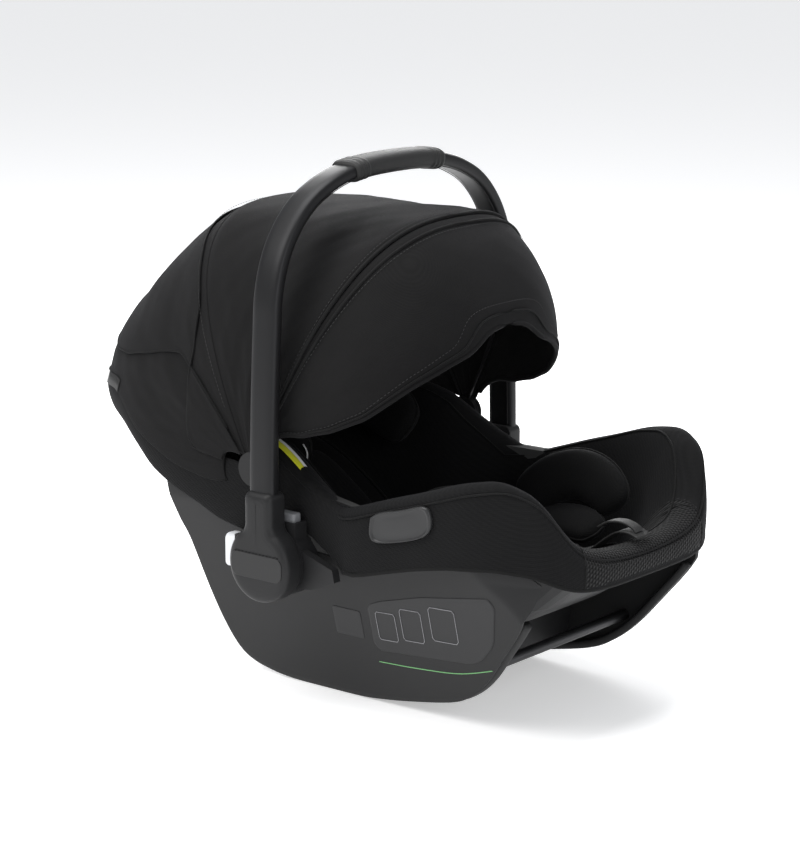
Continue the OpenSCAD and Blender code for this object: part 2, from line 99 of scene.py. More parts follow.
class Finish:
    def __init__(self, name, slot):
        self.mat = bpy.data.materials.new(name)
        self.mat.use_nodes = True
        self.tree = self.mat.node_tree
        self.shader = self.tree.nodes["Principled BSDF"]
        self.slot = slot

    def node(self, kind, settings=None, **inputs):
        made = self.tree.nodes.new(kind)
        for key, value in (settings or {}).items():
            if key == "stops":
                ramp = made.color_ramp
                for i, (at, colour) in enumerate(value):
                    stop = ramp.elements[i] if i < 2 else ramp.elements.new(at)
                    stop.position, stop.color = at, colour
            else:
                setattr(made, key, value)
        for key, value in inputs.items():
            target = made.inputs[int(key[1:])] if key[0] == "i" and key[1:].isdigit() else made.inputs[key]
            if isinstance(value, Sock):
                self.tree.links.new(value.link, target)
            else:
                target.default_value = value
        return made

    def sock(self, node, output=0):
        return Sock(self.tree, node.outputs[output])

    def place(self, scale=(1, 1, 1), turn=(0, 0, 0)):
        coords = self.node("ShaderNodeTexCoord")
        return self.sock(self.node("ShaderNodeMapping", Vector=self.sock(coords, "Object"), Scale=scale, Rotation=turn))

    def axes(self, vector):
        split = self.node("ShaderNodeSeparateXYZ", i0=vector)
        return [self.sock(split, i) for i in range(3)]

    def noise(self, vector, scale, detail=4, rough=0.55):
        made = self.node("ShaderNodeTexNoise", Vector=vector, Scale=scale, Detail=detail, Roughness=rough)
        return self.sock(made, 0)

    def blendColour(self, factor, a, b):
        made = self.node("ShaderNodeMix", {"data_type": "RGBA"}, i0=factor, i6=a, i7=b)
        return self.sock(made, 2)

    def bump(self, height, strength, distance):
        made = self.node("ShaderNodeBump", Height=height, Strength=strength, Distance=distance)
        self.feed("Normal", self.sock(made))

    def feed(self, name, value):
        target = self.shader.inputs[name]
        if isinstance(value, Sock):
            self.tree.links.new(value.link, target)
        else:
            target.default_value = value


def grey(v, warm=1.0, cool=1.0):
    return (v * warm, v, v * cool, 1)


# knitted and woven cloth: a fine diagonal or square weave, soft colour variation and a little sheen
def clothFinish(name, slot, dark, light, thread=0.0011, twill=True, sheen=0.05, rough=0.82, relief=0.35):
    f = Finish(name, slot)
    here = f.place()
    x, y, z = f.axes(here)
    k = 2 * math.pi / thread
    if twill:
        weave = ((x + y * 0.6 + z * 1.3) * k).wave() * 0.6 + ((z * 1.1 - x - y * 0.8) * (k * 0.45)).wave() * 0.4
    else:
        weave = ((x + y) * k).wave() * ((z + x * 0.2) * k).wave()
    cloudy = f.noise(here, 9, 3)
    fuzz = f.noise(here, 900, 2)
    tone = weave * 0.26 + cloudy * 0.6 + fuzz * 0.18
    f.feed("Base Color", f.blendColour(tone, dark, light))
    f.feed("Roughness", rough + fuzz * 0.1)
    f.feed("Sheen Weight", sheen)
    f.feed("Sheen Roughness", 0.45)
    f.feed("Sheen Tint", (0.62, 0.62, 0.66, 1))
    f.feed("Specular IOR Level", 0.09)
    f.bump(weave * 0.6 + fuzz * 0.5, relief, 0.0004)
    return f


# moulded plastic: fine spark grain, a slow tone change and slightly rubbed patches
def plasticFinish(name, slot, colour, rough=0.5, grain=2600, relief=0.18, coat=0.0, shine=0.28):
    f = Finish(name, slot)
    here = f.place()
    fine = f.noise(here, grain, 2)
    slow = f.noise(here, 6, 2)
    lighter = tuple(min(1, c * 1.35 + 0.004) for c in colour[:3]) + (1,)
    f.feed("Base Color", f.blendColour(slow * 0.7 + fine * 0.2, colour, lighter))
    f.feed("Roughness", rough + fine * 0.12 + slow * 0.08 - 0.08)
    f.feed("Coat Weight", coat)
    f.feed("Specular IOR Level", shine)
    f.bump(fine, relief, 0.0002)
    return f


def metalFinish(name, slot, colour, rough=0.32, metallic=1.0):
    f = Finish(name, slot)
    here = f.place((1, 1, 0.06))
    brushed = f.noise(here, 1500, 3)
    slow = f.noise(f.place(), 14, 3)
    f.feed("Base Color", f.blendColour(slow, colour, tuple(c * 1.25 for c in colour[:3]) + (1,)))
    f.feed("Metallic", metallic)
    f.feed("Specular IOR Level", 0.35)
    f.feed("Roughness", rough + brushed * 0.1 + slow * 0.06)
    f.bump(brushed, 0.05, 0.0002)
    return f


def leatherFinish(name, slot, colour):
    f = Finish(name, slot)
    here = f.place()
    cells = f.node("ShaderNodeTexVoronoi", {"feature": "DISTANCE_TO_EDGE"}, Vector=here, Scale=620.0)
    grainEdge = f.sock(cells, 0)
    slow = f.noise(here, 25, 3)
    f.feed("Base Color", f.blendColour(slow, colour, tuple(c * 1.7 for c in colour[:3]) + (1,)))
    f.feed("Roughness", 0.5 + slow * 0.14)
    f.feed("Specular IOR Level", 0.25)
    f.bump(grainEdge * 3.0 + slow * 0.3, 0.35, 0.0005)
    return f


def meshFinish(name, slot, dark, light, cell=0.0042):
    f = Finish(name, slot)
    here = f.place((1, 1, 1))
    x, y, z = f.axes(here)
    k = 2 * math.pi / cell
    hexes = (x * k).wave() + ((x * 0.5 + (y + z) * 0.87) * k).wave() + ((x * 0.5 - (y + z) * 0.87) * k).wave()
    fuzz = f.noise(here, 800, 2)
    f.feed("Base Color", f.blendColour(hexes * 0.3 + 0.4 + fuzz * 0.2, dark, light))
    f.feed("Roughness", 0.8 + fuzz * 0.1)
    f.feed("Sheen Weight", 0.05)
    f.feed("Specular IOR Level", 0.1)
    f.bump(hexes, 0.5, 0.0009)
    return f


def webbingFinish(name, slot, dark, light, glossy=0.55):
    f = Finish(name, slot)
    here = f.place()
    x, y, z = f.axes(here)
    ribs = (x * 3900).wave() * 0.5 + ((y + z) * 5200).wave() * 0.5
    f.feed("Base Color", f.blendColour(ribs * 0.3 + 0.5, dark, light))
    f.feed("Roughness", glossy + ribs * 0.08)
    f.feed("Specular IOR Level", 0.2)
    f.bump(ribs, 0.4, 0.0003)
    return f


finishes = {
    "seat": clothFinish("seat knit", "seat_fabric", grey(0.0042, 1.0, 1.04), grey(0.0105, 1.0, 1.03), 0.0026,
                        relief=0.6),
    "lip": meshFinish("air mesh", "seat_fabric", grey(0.0032), grey(0.0135, 1, 1.03)),
    "pad": clothFinish("insert knit", "seat_fabric", grey(0.0034), grey(0.008, 1, 1.04), 0.0022, False),
    "canopy": clothFinish("canopy weave", "canopy_fabric", grey(0.0056, 1.02, 1.02), grey(0.0112, 1.02, 1.02), 0.0012,
                          False, 0.05, 0.8),
    "piping": clothFinish("piping tape", "canopy_fabric", grey(0.005), grey(0.011), 0.0008, True, 0.05, 0.7),
    "shell": plasticFinish("shell plastic", "shell_plastic", (0.0105, 0.0105, 0.0109, 1), 0.52, shine=0.22),
    "panel": plasticFinish("label field", "shell_plastic", (0.0165, 0.0165, 0.0172, 1), 0.45, 3200, 0.05, shine=0.22),
    "dark": plasticFinish("dark plastic", "dark_plastic", (0.0075, 0.0075, 0.008, 1), 0.45, shine=0.22),
    "gloss": plasticFinish("hub gloss", "dark_plastic", (0.006, 0.006, 0.0063, 1), 0.33, 3000, 0.05, shine=0.3),
    "tab": plasticFinish("tab grey", "grey_plastic", (0.11, 0.112, 0.118, 1), 0.42),
    "guide": plasticFinish("guide grey", "grey_plastic", (0.018, 0.0182, 0.0188, 1), 0.34, 2600, 0.08),
    "button": plasticFinish("button grey", "light_plastic", (0.55, 0.56, 0.58, 1), 0.45),
    "red": plasticFinish("buckle red", "red_plastic", (0.42, 0.02, 0.015, 1), 0.3, 2600, 0.06, 0.3),
    "tube": metalFinish("handle black", "handle_metal", (0.011, 0.011, 0.0118, 1), 0.36, 0.55),
    "bar": metalFinish("dark zinc bar", "steel", (0.05, 0.05, 0.052, 1), 0.38),
    "steel": metalFinish("plated steel", "steel", (0.55, 0.55, 0.57, 1), 0.3),
    "leather": leatherFinish("grip leather", "grip_leather", (0.014, 0.014, 0.014, 1)),
    "thread": clothFinish("stitch thread", "webbing", grey(0.03), grey(0.05), 0.0006, True, 0.1),
    "webbing": webbingFinish("belt webbing", "webbing", grey(0.01), grey(0.022)),
    "foam": plasticFinish("bead foam", "foam", (0.03, 0.03, 0.03, 1), 0.8, 500, 0.5),
    "white": clothFinish("white tape", "webbing", grey(0.6), grey(0.72), 0.0009, False, 0.1, 0.7),
    "yellow": clothFinish("yellow tape", "webbing", (0.55, 0.56, 0.02, 1), (0.68, 0.66, 0.05, 1), 0.0009, False, 0.1,
                          0.6),
    "green": plasticFinish("green print", "shell_plastic", (0.12, 0.3, 0.12, 1), 0.5),
    "pale": plasticFinish("pale print", "shell_plastic", (0.2, 0.2, 0.21, 1), 0.5),
}
print("finishes ready")

made = {}


def newPiece(name, verts, faces, finish, body="seat", cad=(), smooth=True):
    data = bpy.data.meshes.new(name)
    data.from_pydata([tuple(v) for v in verts], [], faces)
    data.validate()
    obj = bpy.data.objects.new(name, data)
    bpy.context.scene.collection.objects.link(obj)
    dress(obj, finish)
    if smooth:
        data.polygons.foreach_set("use_smooth", [True] * len(data.polygons))
    made[name] = (obj, body, cad)
    return obj


def dress(obj, finish):
    obj.data.materials.clear()
    obj.data.materials.append(finishes[finish].mat)
    obj["finishSlot"] = finishes[finish].slot


def outward(obj, merge=1e-6):
    work = bmesh.new()
    work.from_mesh(obj.data)
    bmesh.ops.remove_doubles(work, verts=work.verts, dist=merge)
    bmesh.ops.recalc_face_normals(work, faces=work.faces)
    work.to_mesh(obj.data)
    work.free()
    return obj


def faceSide(obj, side, axis=0):
    outward(obj)
    if sum(p.normal[axis] * p.area for p in obj.data.polygons) * side < 0:
        obj.data.flip_normals()


def settle(obj, *modifiers):
    for kind, settings in modifiers:
        mod = obj.modifiers.new(kind, kind)
        for key, value in settings.items():
            setattr(mod, key, value)
    graph = bpy.context.evaluated_depsgraph_get()
    baked = bpy.data.meshes.new_from_object(obj.evaluated_get(graph))
    old = obj.data
    obj.modifiers.clear()
    obj.data = baked
    bpy.data.meshes.remove(old)
    baked.polygons.foreach_set("use_smooth", [True] * len(baked.polygons))
    return obj


def wall(thick, inward=True):
    return "SOLIDIFY", {"thickness": thick, "offset": -1 if inward else 1, "use_even_offset": False, "use_rim": True}


def soften(levels=1):
    return "SUBSURF", {"levels": levels, "render_levels": levels}


def bevelled(width, segments=3, angle=35):
    return "BEVEL", {"width": width, "segments": segments, "limit_method": "ANGLE", "angle_limit": math.radians(angle)}


# a sheet through rows of points; wrap joins the last column to the first
def sheetFaces(rows, cols, wrap=False, start=0):
    last = cols if wrap else cols - 1
    return [(start + j * cols + i, start + j * cols + (i + 1) % cols,
             start + (j + 1) * cols + (i + 1) % cols, start + (j + 1) * cols + i)
            for j in range(rows - 1) for i in range(last)]


def sheetPiece(name, rows, finish, body="seat", cad=(), wrap=False):
    verts = [p for row in rows for p in row]
    return newPiece(name, verts, sheetFaces(len(rows), len(rows[0]), wrap), finish, body, cad)


def runAlong(path, closed=False):
    pts = [np.array(p, float) for p in path]
    n = len(pts)
    out = []
    for i in range(n):
        ahead = pts[(i + 1) % n] if closed else pts[min(i + 1, n - 1)]
        behind = pts[i - 1] if closed or i else pts[0]
        d = ahead - behind
        out.append(d / (np.linalg.norm(d) + 1e-12))
    return pts, out


# a closed tube or band swept along a path; profile points are (across, up)
def sweepPiece(name, path, profile, finish, body="seat", cad=(), up=(0, 0, 1), closed=False, size=None):
    pts, runs = runAlong(path, closed)
    verts = []
    for i, (p, t) in enumerate(zip(pts, runs)):
        across = np.cross(t, np.array(up, float) if not callable(up) else up(i))
        across /= np.linalg.norm(across) + 1e-12
        high = np.cross(across, t)
        k = size(i / (len(pts) - 1)) if size else 1
        verts += [p + across * a * k + high * b * k for a, b in profile]
    n = len(profile)
    faces = sheetFaces(len(pts), n, True)
    if closed:
        s = (len(pts) - 1) * n
        faces += [(s + i, s + (i + 1) % n, (i + 1) % n, i) for i in range(n)]
    else:
        faces += [tuple(range(n - 1, -1, -1)), tuple(range((len(pts) - 1) * n, len(pts) * n))]
    return outward(newPiece(name, verts, faces, finish, body, cad), 1e-7)


def ring(rx, ry, count=10, power=2.0):
    out = []
    for i in range(count):
        a = 2 * math.pi * i / count
        c, s = math.cos(a), math.sin(a)
        out.append((rx * math.copysign(abs(c) ** (2 / power), c), ry * math.copysign(abs(s) ** (2 / power), s)))
    return out


def curved(points, count):
    pts = np.array(points, float)
    reach = np.concatenate([[0], np.cumsum(np.linalg.norm(np.diff(pts, axis=0), axis=1))])
    out = []
    for s in np.linspace(0, reach[-1], count):
        i = min(max(int(np.searchsorted(reach, s)) - 1, 0), len(pts) - 2)
        t = (s - reach[i]) / max(reach[i + 1] - reach[i], 1e-9)
        p0, p1, p2, p3 = pts[max(i - 1, 0)], pts[i], pts[i + 1], pts[min(i + 2, len(pts) - 1)]
        out.append(0.5 * ((2 * p1) + (p2 - p0) * t + (2 * p0 - 5 * p1 + 4 * p2 - p3) * t * t
                          + (3 * p1 - p0 - 3 * p2 + p3) * t ** 3))
    return out


def tidyTable(table, x, soft=0.035):
    xs, ys = zip(*table)
    return float(np.mean([np.interp(x + soft * k / 4, xs, ys) for k in range(-4, 5)]))


def ease(t):
    t = min(1, max(0, t))
    return t * t * (3 - 2 * t)


# sewing: one small bead of thread at each step of a line, scattered by Geometry Nodes
def stitchNodes():
    tree = bpy.data.node_groups.new("stitch run", "GeometryNodeTree")
    face = tree.interface
    face.new_socket("Line", in_out="INPUT", socket_type="NodeSocketGeometry")
    for label, value in (("Step", 0.004), ("Length", 0.0013), ("Thickness", 0.00032)):
        face.new_socket(label, in_out="INPUT", socket_type="NodeSocketFloat").default_value = value
    face.new_socket("Thread", in_out="INPUT", socket_type="NodeSocketMaterial")
    face.new_socket("Stitches", in_out="OUTPUT", socket_type="NodeSocketGeometry")
    add, join = tree.nodes.new, tree.links.new
    given, result = add("NodeGroupInput"), add("NodeGroupOutput")
    toCurve = add("GeometryNodeMeshToCurve")
    join(given.outputs["Line"], toCurve.inputs["Mesh"])
    points = add("GeometryNodeCurveToPoints")
    points.mode = "LENGTH"
    join(toCurve.outputs["Curve"], points.inputs["Curve"])
    join(given.outputs["Step"], points.inputs["Length"])
    bead = add("GeometryNodeMeshUVSphere")
    bead.inputs["Segments"].default_value = 6
    bead.inputs["Rings"].default_value = 4
    bead.inputs["Radius"].default_value = 1.0
    shape = add("ShaderNodeCombineXYZ")
    join(given.outputs["Thickness"], shape.inputs["X"])
    join(given.outputs["Thickness"], shape.inputs["Y"])
    join(given.outputs["Length"], shape.inputs["Z"])
    place = add("GeometryNodeInstanceOnPoints")
    join(points.outputs["Points"], place.inputs["Points"])
    join(bead.outputs["Mesh"], place.inputs["Instance"])
    join(points.outputs["Rotation"], place.inputs["Rotation"])
    join(shape.outputs["Vector"], place.inputs["Scale"])
    solid = add("GeometryNodeRealizeInstances")
    join(place.outputs["Instances"], solid.inputs["Geometry"])
    paint = add("GeometryNodeSetMaterial")
    join(solid.outputs["Geometry"], paint.inputs["Geometry"])
    join(given.outputs["Thread"], paint.inputs["Material"])
    join(paint.outputs["Geometry"], result.inputs["Stitches"])
    return tree


stitching = stitchNodes()


def stitchRun(name, path, body="seat", step=0.0042, slot="seat_fabric"):
    data = bpy.data.meshes.new(name)
    data.from_pydata([tuple(p) for p in path], [(i, i + 1) for i in range(len(path) - 1)], [])
    obj = bpy.data.objects.new(name, data)
    bpy.context.scene.collection.objects.link(obj)
    mod = obj.modifiers.new("stitches", "NODES")
    mod.node_group = stitching
    sockets = {item.name: item.identifier for item in stitching.interface.items_tree if item.in_out == "INPUT"}
    mod[sockets["Step"]] = step
    mod[sockets["Length"]] = step * 0.34
    mod[sockets["Thread"]] = finishes["thread"].mat
    graph = bpy.context.evaluated_depsgraph_get()
    baked = bpy.data.meshes.new_from_object(obj.evaluated_get(graph))
    obj.modifiers.clear()
    obj.data = baked
    bpy.data.meshes.remove(data)
    obj["finishSlot"] = slot
    made[name] = (obj, body, ())
    return obj


# the lines that the shell, the fabric and the canopy share, in millimetres
seat = {"halfLength": 345.0, "halfWidth": 190.0, "footPower": 4.4, "headPower": 3.0, "around": 220,
        "lipHalfWidth": 150.0, "lipTop": 194.0}
rimLine = [(-1, 196), (-0.93, 262), (-0.84, 280), (-0.72, 273), (-0.58, 257), (-0.46, 245), (-0.25, 222),
           (-0.15, 223), (-0.1, 231), (0, 259), (0.08, 275), (0.2, 285), (0.35, 288), (1, 286)]
floorLine = [(-1, 178), (-0.87, 160), (-0.58, 112), (-0.29, 80), (-0.1, 74), (0.12, 98), (0.43, 176),
             (0.72, 236), (1, 264)]
hemLine = [(-1, 160), (-0.9, 184), (-0.8, 188), (-0.64, 184), (-0.53, 177), (-0.415, 167), (-0.31, 157),
           (-0.235, 154), (-0.15, 180), (-0.1, 200), (0.15, 204), (0.3, 214), (0.55, 236), (1, 256)]
waistLine = [(-0.29, 1), (-0.15, 0.885), (1, 0.885)]


def lift(c, p):
    return math.copysign(abs(c) ** (2 / p), c)


def outline(a, headReach=341.7, waist=True):
    s = math.sin(a)
    p = seat["footPower"] if s < 0 else seat["headPower"]
    y = (seat["halfLength"] if s < 0 else headReach) * lift(s, p)
    x = seat["halfWidth"] * lift(math.cos(a), p)
    return (x * (tidyTable(waistLine, y / seat["halfLength"], 0.02) if waist else 1), y)


def inset(p, u):
    k = 1 - u / math.hypot(*p)
    return (p[0] * k, p[1] * k)


def rimZ(p):
    f = p[1] / seat["halfLength"]
    z = tidyTable(rimLine, f)
    foot = ease((-f - 0.6) / 0.3)
    dipped = seat["lipTop"] + (z - seat["lipTop"]) * ease(abs(p[0]) / seat["lipHalfWidth"])
    return z + (dipped - z) * foot


def hemZ(p):
    f = p[1] / seat["halfLength"]
    return tidyTable(hemLine, f, 0.03)


def floorZ(y):
    return tidyTable(floorLine, y / seat["halfLength"], 0.06)


basin = [(37, 0, 1, 0), (43, 0.1, 1, 0.1), (66, 0.55, 0.86, 0.5), (90, 0.85, 0.6, 0.8), (118, 0.97, 0.3, 0.95)]
middleShares = [0.82, 0.64, 0.47, 0.31, 0.16, 0.04]
deepestShare = 0.6


def basinPoint(a, k, d=0.0):
    p = outline(a)
    if k <= len(basin) - 1:
        low = min(int(k), len(basin) - 2)
        t = k - low
        u, down, out, drop = [basin[low][i] + (basin[low + 1][i] - basin[low][i]) * t for i in range(4)]
        u = min(u, deepestShare * math.hypot(*p))
        q, base = inset(p, u - d * out), inset(p, u)
        top = rimZ(p) - 10
        z = top + (floorZ(base[1]) - top) * down - d * drop
        return (q[0], q[1], z)
    t = k - len(basin) + 1
    edge = inset(p, min(basin[-1][0], deepestShare * math.hypot(*p)))
    shares = [1.0] + middleShares
    low = min(int(t), len(shares) - 2)
    share = shares[low] + (shares[low + 1] - shares[low]) * (t - low)
    z = floorZ(edge[1] * share)
    if low == 0:
        top = rimZ(p) - 10
        z += (top - z) * 0.03 * (1 - t)
    return (edge[0] * share, edge[1] * share, z - d)


def angles(count, start=0.0, end=2 * math.pi, closed=True):
    n = count if closed else count - 1
    return [start + (end - start) * i / n for i in range(count)]


def crumple(x, y, z, size=60.0):
    k = 1 / size
    return (math.sin(x * k + 1.7 * math.sin(y * k * 0.7)) * math.sin(y * k * 1.3 + 0.6 + math.sin(z * k * 0.9))
            + 0.5 * math.sin((x + z) * k * 2.3 + 1.1) * math.sin((y - z) * k * 2.1))


# outer shell: two leaning side walls with a rocking rail under each
shell = {"railOuter": 118.0, "topX": 175.0, "leanHeight": 200.0, "leanPower": 0.8, "wall": 3.6, "railWidth": 12.0}
shellLow = [(-312, 172), (-308, 152), (-294, 124), (-268, 90), (-241, 57), (-216, 36), (-188, 23), (-130, 10.6),
            (-88, 3.8), (-58, 0.6), (-11, 0.02), (36, 0.6), (66, 4.6), (92, 13), (108, 27), (121, 54), (133, 92),
            (148, 150), (158, 172), (168, 200), (173, 222)]
shellHigh = [(-312, 174), (-296, 186), (-264, 195), (-222, 190), (-182, 182), (-143, 172), (-109, 162), (-82, 160),
             (-46, 166), (52, 168), (62, 176), (90, 192), (128, 208), (168, 224)]


def wallX(z):
    share = min(max(z, 0) / shell["leanHeight"], 1)
    return shell["railOuter"] + (shell["topX"] - shell["railOuter"]) * share ** shell["leanPower"]


def evenPath(points, count):
    return [tuple(p) for p in curved([(a, b, 0) for a, b in points], count)]


def sideWall(side):
    across, tall = 150, 26
    low = evenPath(shellLow, across)
    high = evenPath(shellHigh, across)
    rows = []
    for j in range(tall + 1):
        t = j / tall
        row = []
        for a, b in zip(low, high):
            y = a[0] + (b[0] - a[0]) * t
            z = max(a[1] + (b[1] - a[1]) * t, 0.0)
            share = min(abs(y) / seat["halfLength"], 0.99)
            under = seat["halfWidth"] * (1 - share ** seat["footPower"]) ** (1 / seat["footPower"]) - 8
            x = wallX(z) if y > 0 else min(wallX(z), under + 0.3 * max(172 - z, 0))
            row.append((side * x * mm, y * mm, z * mm))
        rows.append(row)
    return rows


for side, word in ((-1, "left"), (1, "right")):
    skin = sheetPiece("shell_wall_" + word, sideWall(side), "shell", "seat", ("rocker_" + word,))
    faceSide(skin, side)
    settle(skin, wall(shell["wall"] * mm), bevelled(0.0012, 3, 50))
    railPath = [(side * (shell["railOuter"] - 7.2 + 0.9 * (wallX(max(z, 0)) - shell["railOuter"])) * mm, y * mm,
                 (max(z, 0) + 4.6) * mm)
                for y, z, _ in evenPath(shellLow, 120)[8:-14]]
    sweepPiece("rocker_rail_" + word, railPath, ring(5.6 * mm, 4.55 * mm, 16, 3.5), "shell")
print("shell walls ready")


def onWall(side, y, z, proud):
    return (side * (wallX(z) + proud) * mm, y * mm, z * mm)


# bare label field with plain frames, on the near and far walls alike
label = {"field": [(-96, 114), (-96, 72), (-104, 66), (-226, 76), (-240, 82), (-260, 104), (-269, 148), (-262, 157),
                   (-170, 141), (-112, 125), (-99, 119)],
         "frames": [((-214, 90), (-180, 128)), ((-168, 84), (-140, 120)), ((-132, 80), (-106, 112))],
         "sticker": ((-84, 76), (-46, 108)), "line": [(-252, 74), (-206, 61), (-150, 55), (-98, 52)]}


def fieldPiece(name, side, corners, finish, proud, rounding=3):
    pts = []
    for i, c in enumerate(corners):
        a, b = np.array(corners[i - 1], float), np.array(corners[(i + 1) % len(corners)], float)
        c = np.array(c, float)
        cut = min(rounding, np.linalg.norm(a - c) * 0.4, np.linalg.norm(b - c) * 0.4)
        first = c + (a - c) / np.linalg.norm(a - c) * cut
        last = c + (b - c) / np.linalg.norm(b - c) * cut
        for t in (0, 0.25, 0.5, 0.75, 1):
            pts.append(first * (1 - t) ** 2 + c * 2 * t * (1 - t) + last * t * t)
    centre = np.mean(pts, axis=0)
    rows = [[onWall(side, *(centre + (p - centre) * k), proud if k < 1 else proud - 0.12) for p in pts]
            for k in (0.0, 0.2, 0.4, 0.6, 0.8, 0.97, 1.0)]
    obj = sheetPiece(name, rows, finish, "seat", (), True)
    faceSide(obj, side)
    return settle(obj, wall(0.25 * mm))


def boxCorners(pair):
    (y0, z0), (y1, z1) = pair
    return [(y0, z0), (y1, z0), (y1, z1), (y0, z1)]


for side, word in ((-1, "left"), (1, "right")):
    fieldPiece("label_field_" + word, side, label["field"], "panel", 0.5, 8)
    for i, pair in enumerate(label["frames"]):
        corners = boxCorners(pair)
        loop = [onWall(side, y, z + (y + 96) * -0.05, 0.95) for y, z in corners]
        dense = []
        for k in range(4):
            a, b = np.array(loop[k]), np.array(loop[(k + 1) % 4])
            dense += [a + (b - a) * t for t in (0.08, 0.3, 0.5, 0.7, 0.92)]
        sweepPiece("label_frame_%s_%d" % (word, i), dense, ring(0.35 * mm, 0.25 * mm, 6), "pale", closed=True,
                   up=(1, 0, 0))
    fieldPiece("label_sticker_" + word, side, boxCorners(label["sticker"]), "panel", 0.45, 3)
    greenPath = [onWall(side, y, z, 0.15) for y, z, _ in evenPath(label["line"], 30)]
    sweepPiece("label_line_" + word, greenPath, ring(0.55 * mm, 0.3 * mm, 6), "green", up=(1, 0, 0))
print("label fields ready")

# seat cover: one continuous skin from the hem over the rim and down into the seat
cover = {"wall": 2.4, "lipSeam": 106.0}


def coverRows():
    rows = []
    edge = [(6, lambda h, r: h + 5), (2.6, lambda h, r: h + 0.6), (0.8, lambda h, r: h), (-0.2, lambda h, r: h + 2.6),
            (-0.6, lambda h, r: h + (r - h) * 0.16), (-1.2, lambda h, r: h + (r - h) * 0.34),
            (-1.2, lambda h, r: h + (r - h) * 0.52), (-0.4, lambda h, r: h + (r - h) * 0.7),
            (1.4, lambda h, r: r - 13), (3.4, lambda h, r: r - 9.6), (3.6, lambda h, r: r - 8.6),
            (3.4, lambda h, r: r - 7.4), (5.4, lambda h, r: r - 4), (10, lambda h, r: r - 0.8),
            (16, lambda h, r: r), (23, lambda h, r: r - 0.6), (30, lambda h, r: r - 3.6), (34.5, lambda h, r: r - 7)]
    for u, rise in edge:
        row = []
        reach = 318 + 23.7 * ease((u - 8) / 28)
        for p in [outline(a, reach) for a in angles(seat["around"])]:
            q = inset(p, u)
            row.append((q[0], q[1], rise(hemZ(p), rimZ(p))))
        rows.append(row)
    for k in [0, 0.5, 1, 1.33, 1.66, 2, 2.33, 2.66, 3, 3.33, 3.66, 4, 4.5, 5, 5.5, 6, 7, 8, 9, 9.99]:
        rows.append([basinPoint(a, k, 0) for a in angles(seat["around"])])
    out = []
    for j, row in enumerate(rows):
        line = []
        for x, y, z in row:
            w = 0.5 * crumple(x, y, z) if 4 <= j else 0
            s = math.hypot(x, y) + 1e-6
            line.append(((x + x / s * w) * mm, (y + y / s * w) * mm, (z + w * 0.5) * mm))
        out.append(line)
    return out


coverSkin = sheetPiece("seat_cover_skin", coverRows(), "seat", "seat", ("seat_cover",), True)
outward(coverSkin)
settle(coverSkin, wall(cover["wall"] * mm), soften(1))
coverSkin.data.materials.append(finishes["lip"].mat)
for face in coverSkin.data.polygons:
    c = face.center / mm
    if c.y < -262 and abs(c.x) < cover["lipSeam"] and c.z > 168:
        face.material_index = 1
print("seat cover ready")


def rimPath(u, rise, a0, a1, count, closed=False):
    out = []
    for a in angles(count, a0, a1, closed):
        p = outline(a, 318 + 23.7 * ease((u - 8) / 28))
        q = inset(p, u)
        out.append((q[0] * mm, q[1] * mm, rise(hemZ(p), rimZ(p)) * mm))
    return out


sweepPiece("rim_piping", rimPath(2.6, lambda h, r: r - 8.8, 0, 2 * math.pi, 260, True), ring(1.1 * mm, 1.1 * mm, 8),
           "piping", closed=True)
sweepPiece("inner_rim_piping", rimPath(33.4, lambda h, r: r - 5.4, 0, 2 * math.pi, 260, True),
           ring(1.3 * mm, 1.3 * mm, 8), "piping", closed=True)
sweepPiece("hem_binding", rimPath(0.4, lambda h, r: h + 1.6, 0, 2 * math.pi, 260, True), ring(0.9 * mm, 2.2 * mm, 8),
           "piping", closed=True)
for side, word in ((-1, "left"), (1, "right")):
    seamLine = []
    for t in np.linspace(0, 1, 24):
        x = side * cover["lipSeam"]
        k = 1 - (cover["lipSeam"] / seat["halfWidth"]) ** seat["footPower"]
        yEdge = -seat["halfLength"] * k ** (1 / seat["footPower"])
        p = (x, yEdge)
        h, r = hemZ(p), rimZ(p)
        stations = [(0.0, h + 4), (-1.3, h + (r - h) * 0.5), (1.0, r - 13), (5, r - 4), (15, r + 0.3), (30, r - 3),
                    (44, r - 16)]
        s = t * (len(stations) - 1)
        i = min(int(s), len(stations) - 2)
        u, z = [stations[i][c] + (stations[i + 1][c] - stations[i][c]) * (s - i) for c in range(2)]
        q = inset(p, u)
        seamLine.append((q[0] * mm, q[1] * mm, z * mm))
    sweepPiece("lip_seam_" + word, curved(seamLine, 40), ring(0.9 * mm, 0.9 * mm, 8), "piping", up=(1, 0, 0))
print("cover seams ready")


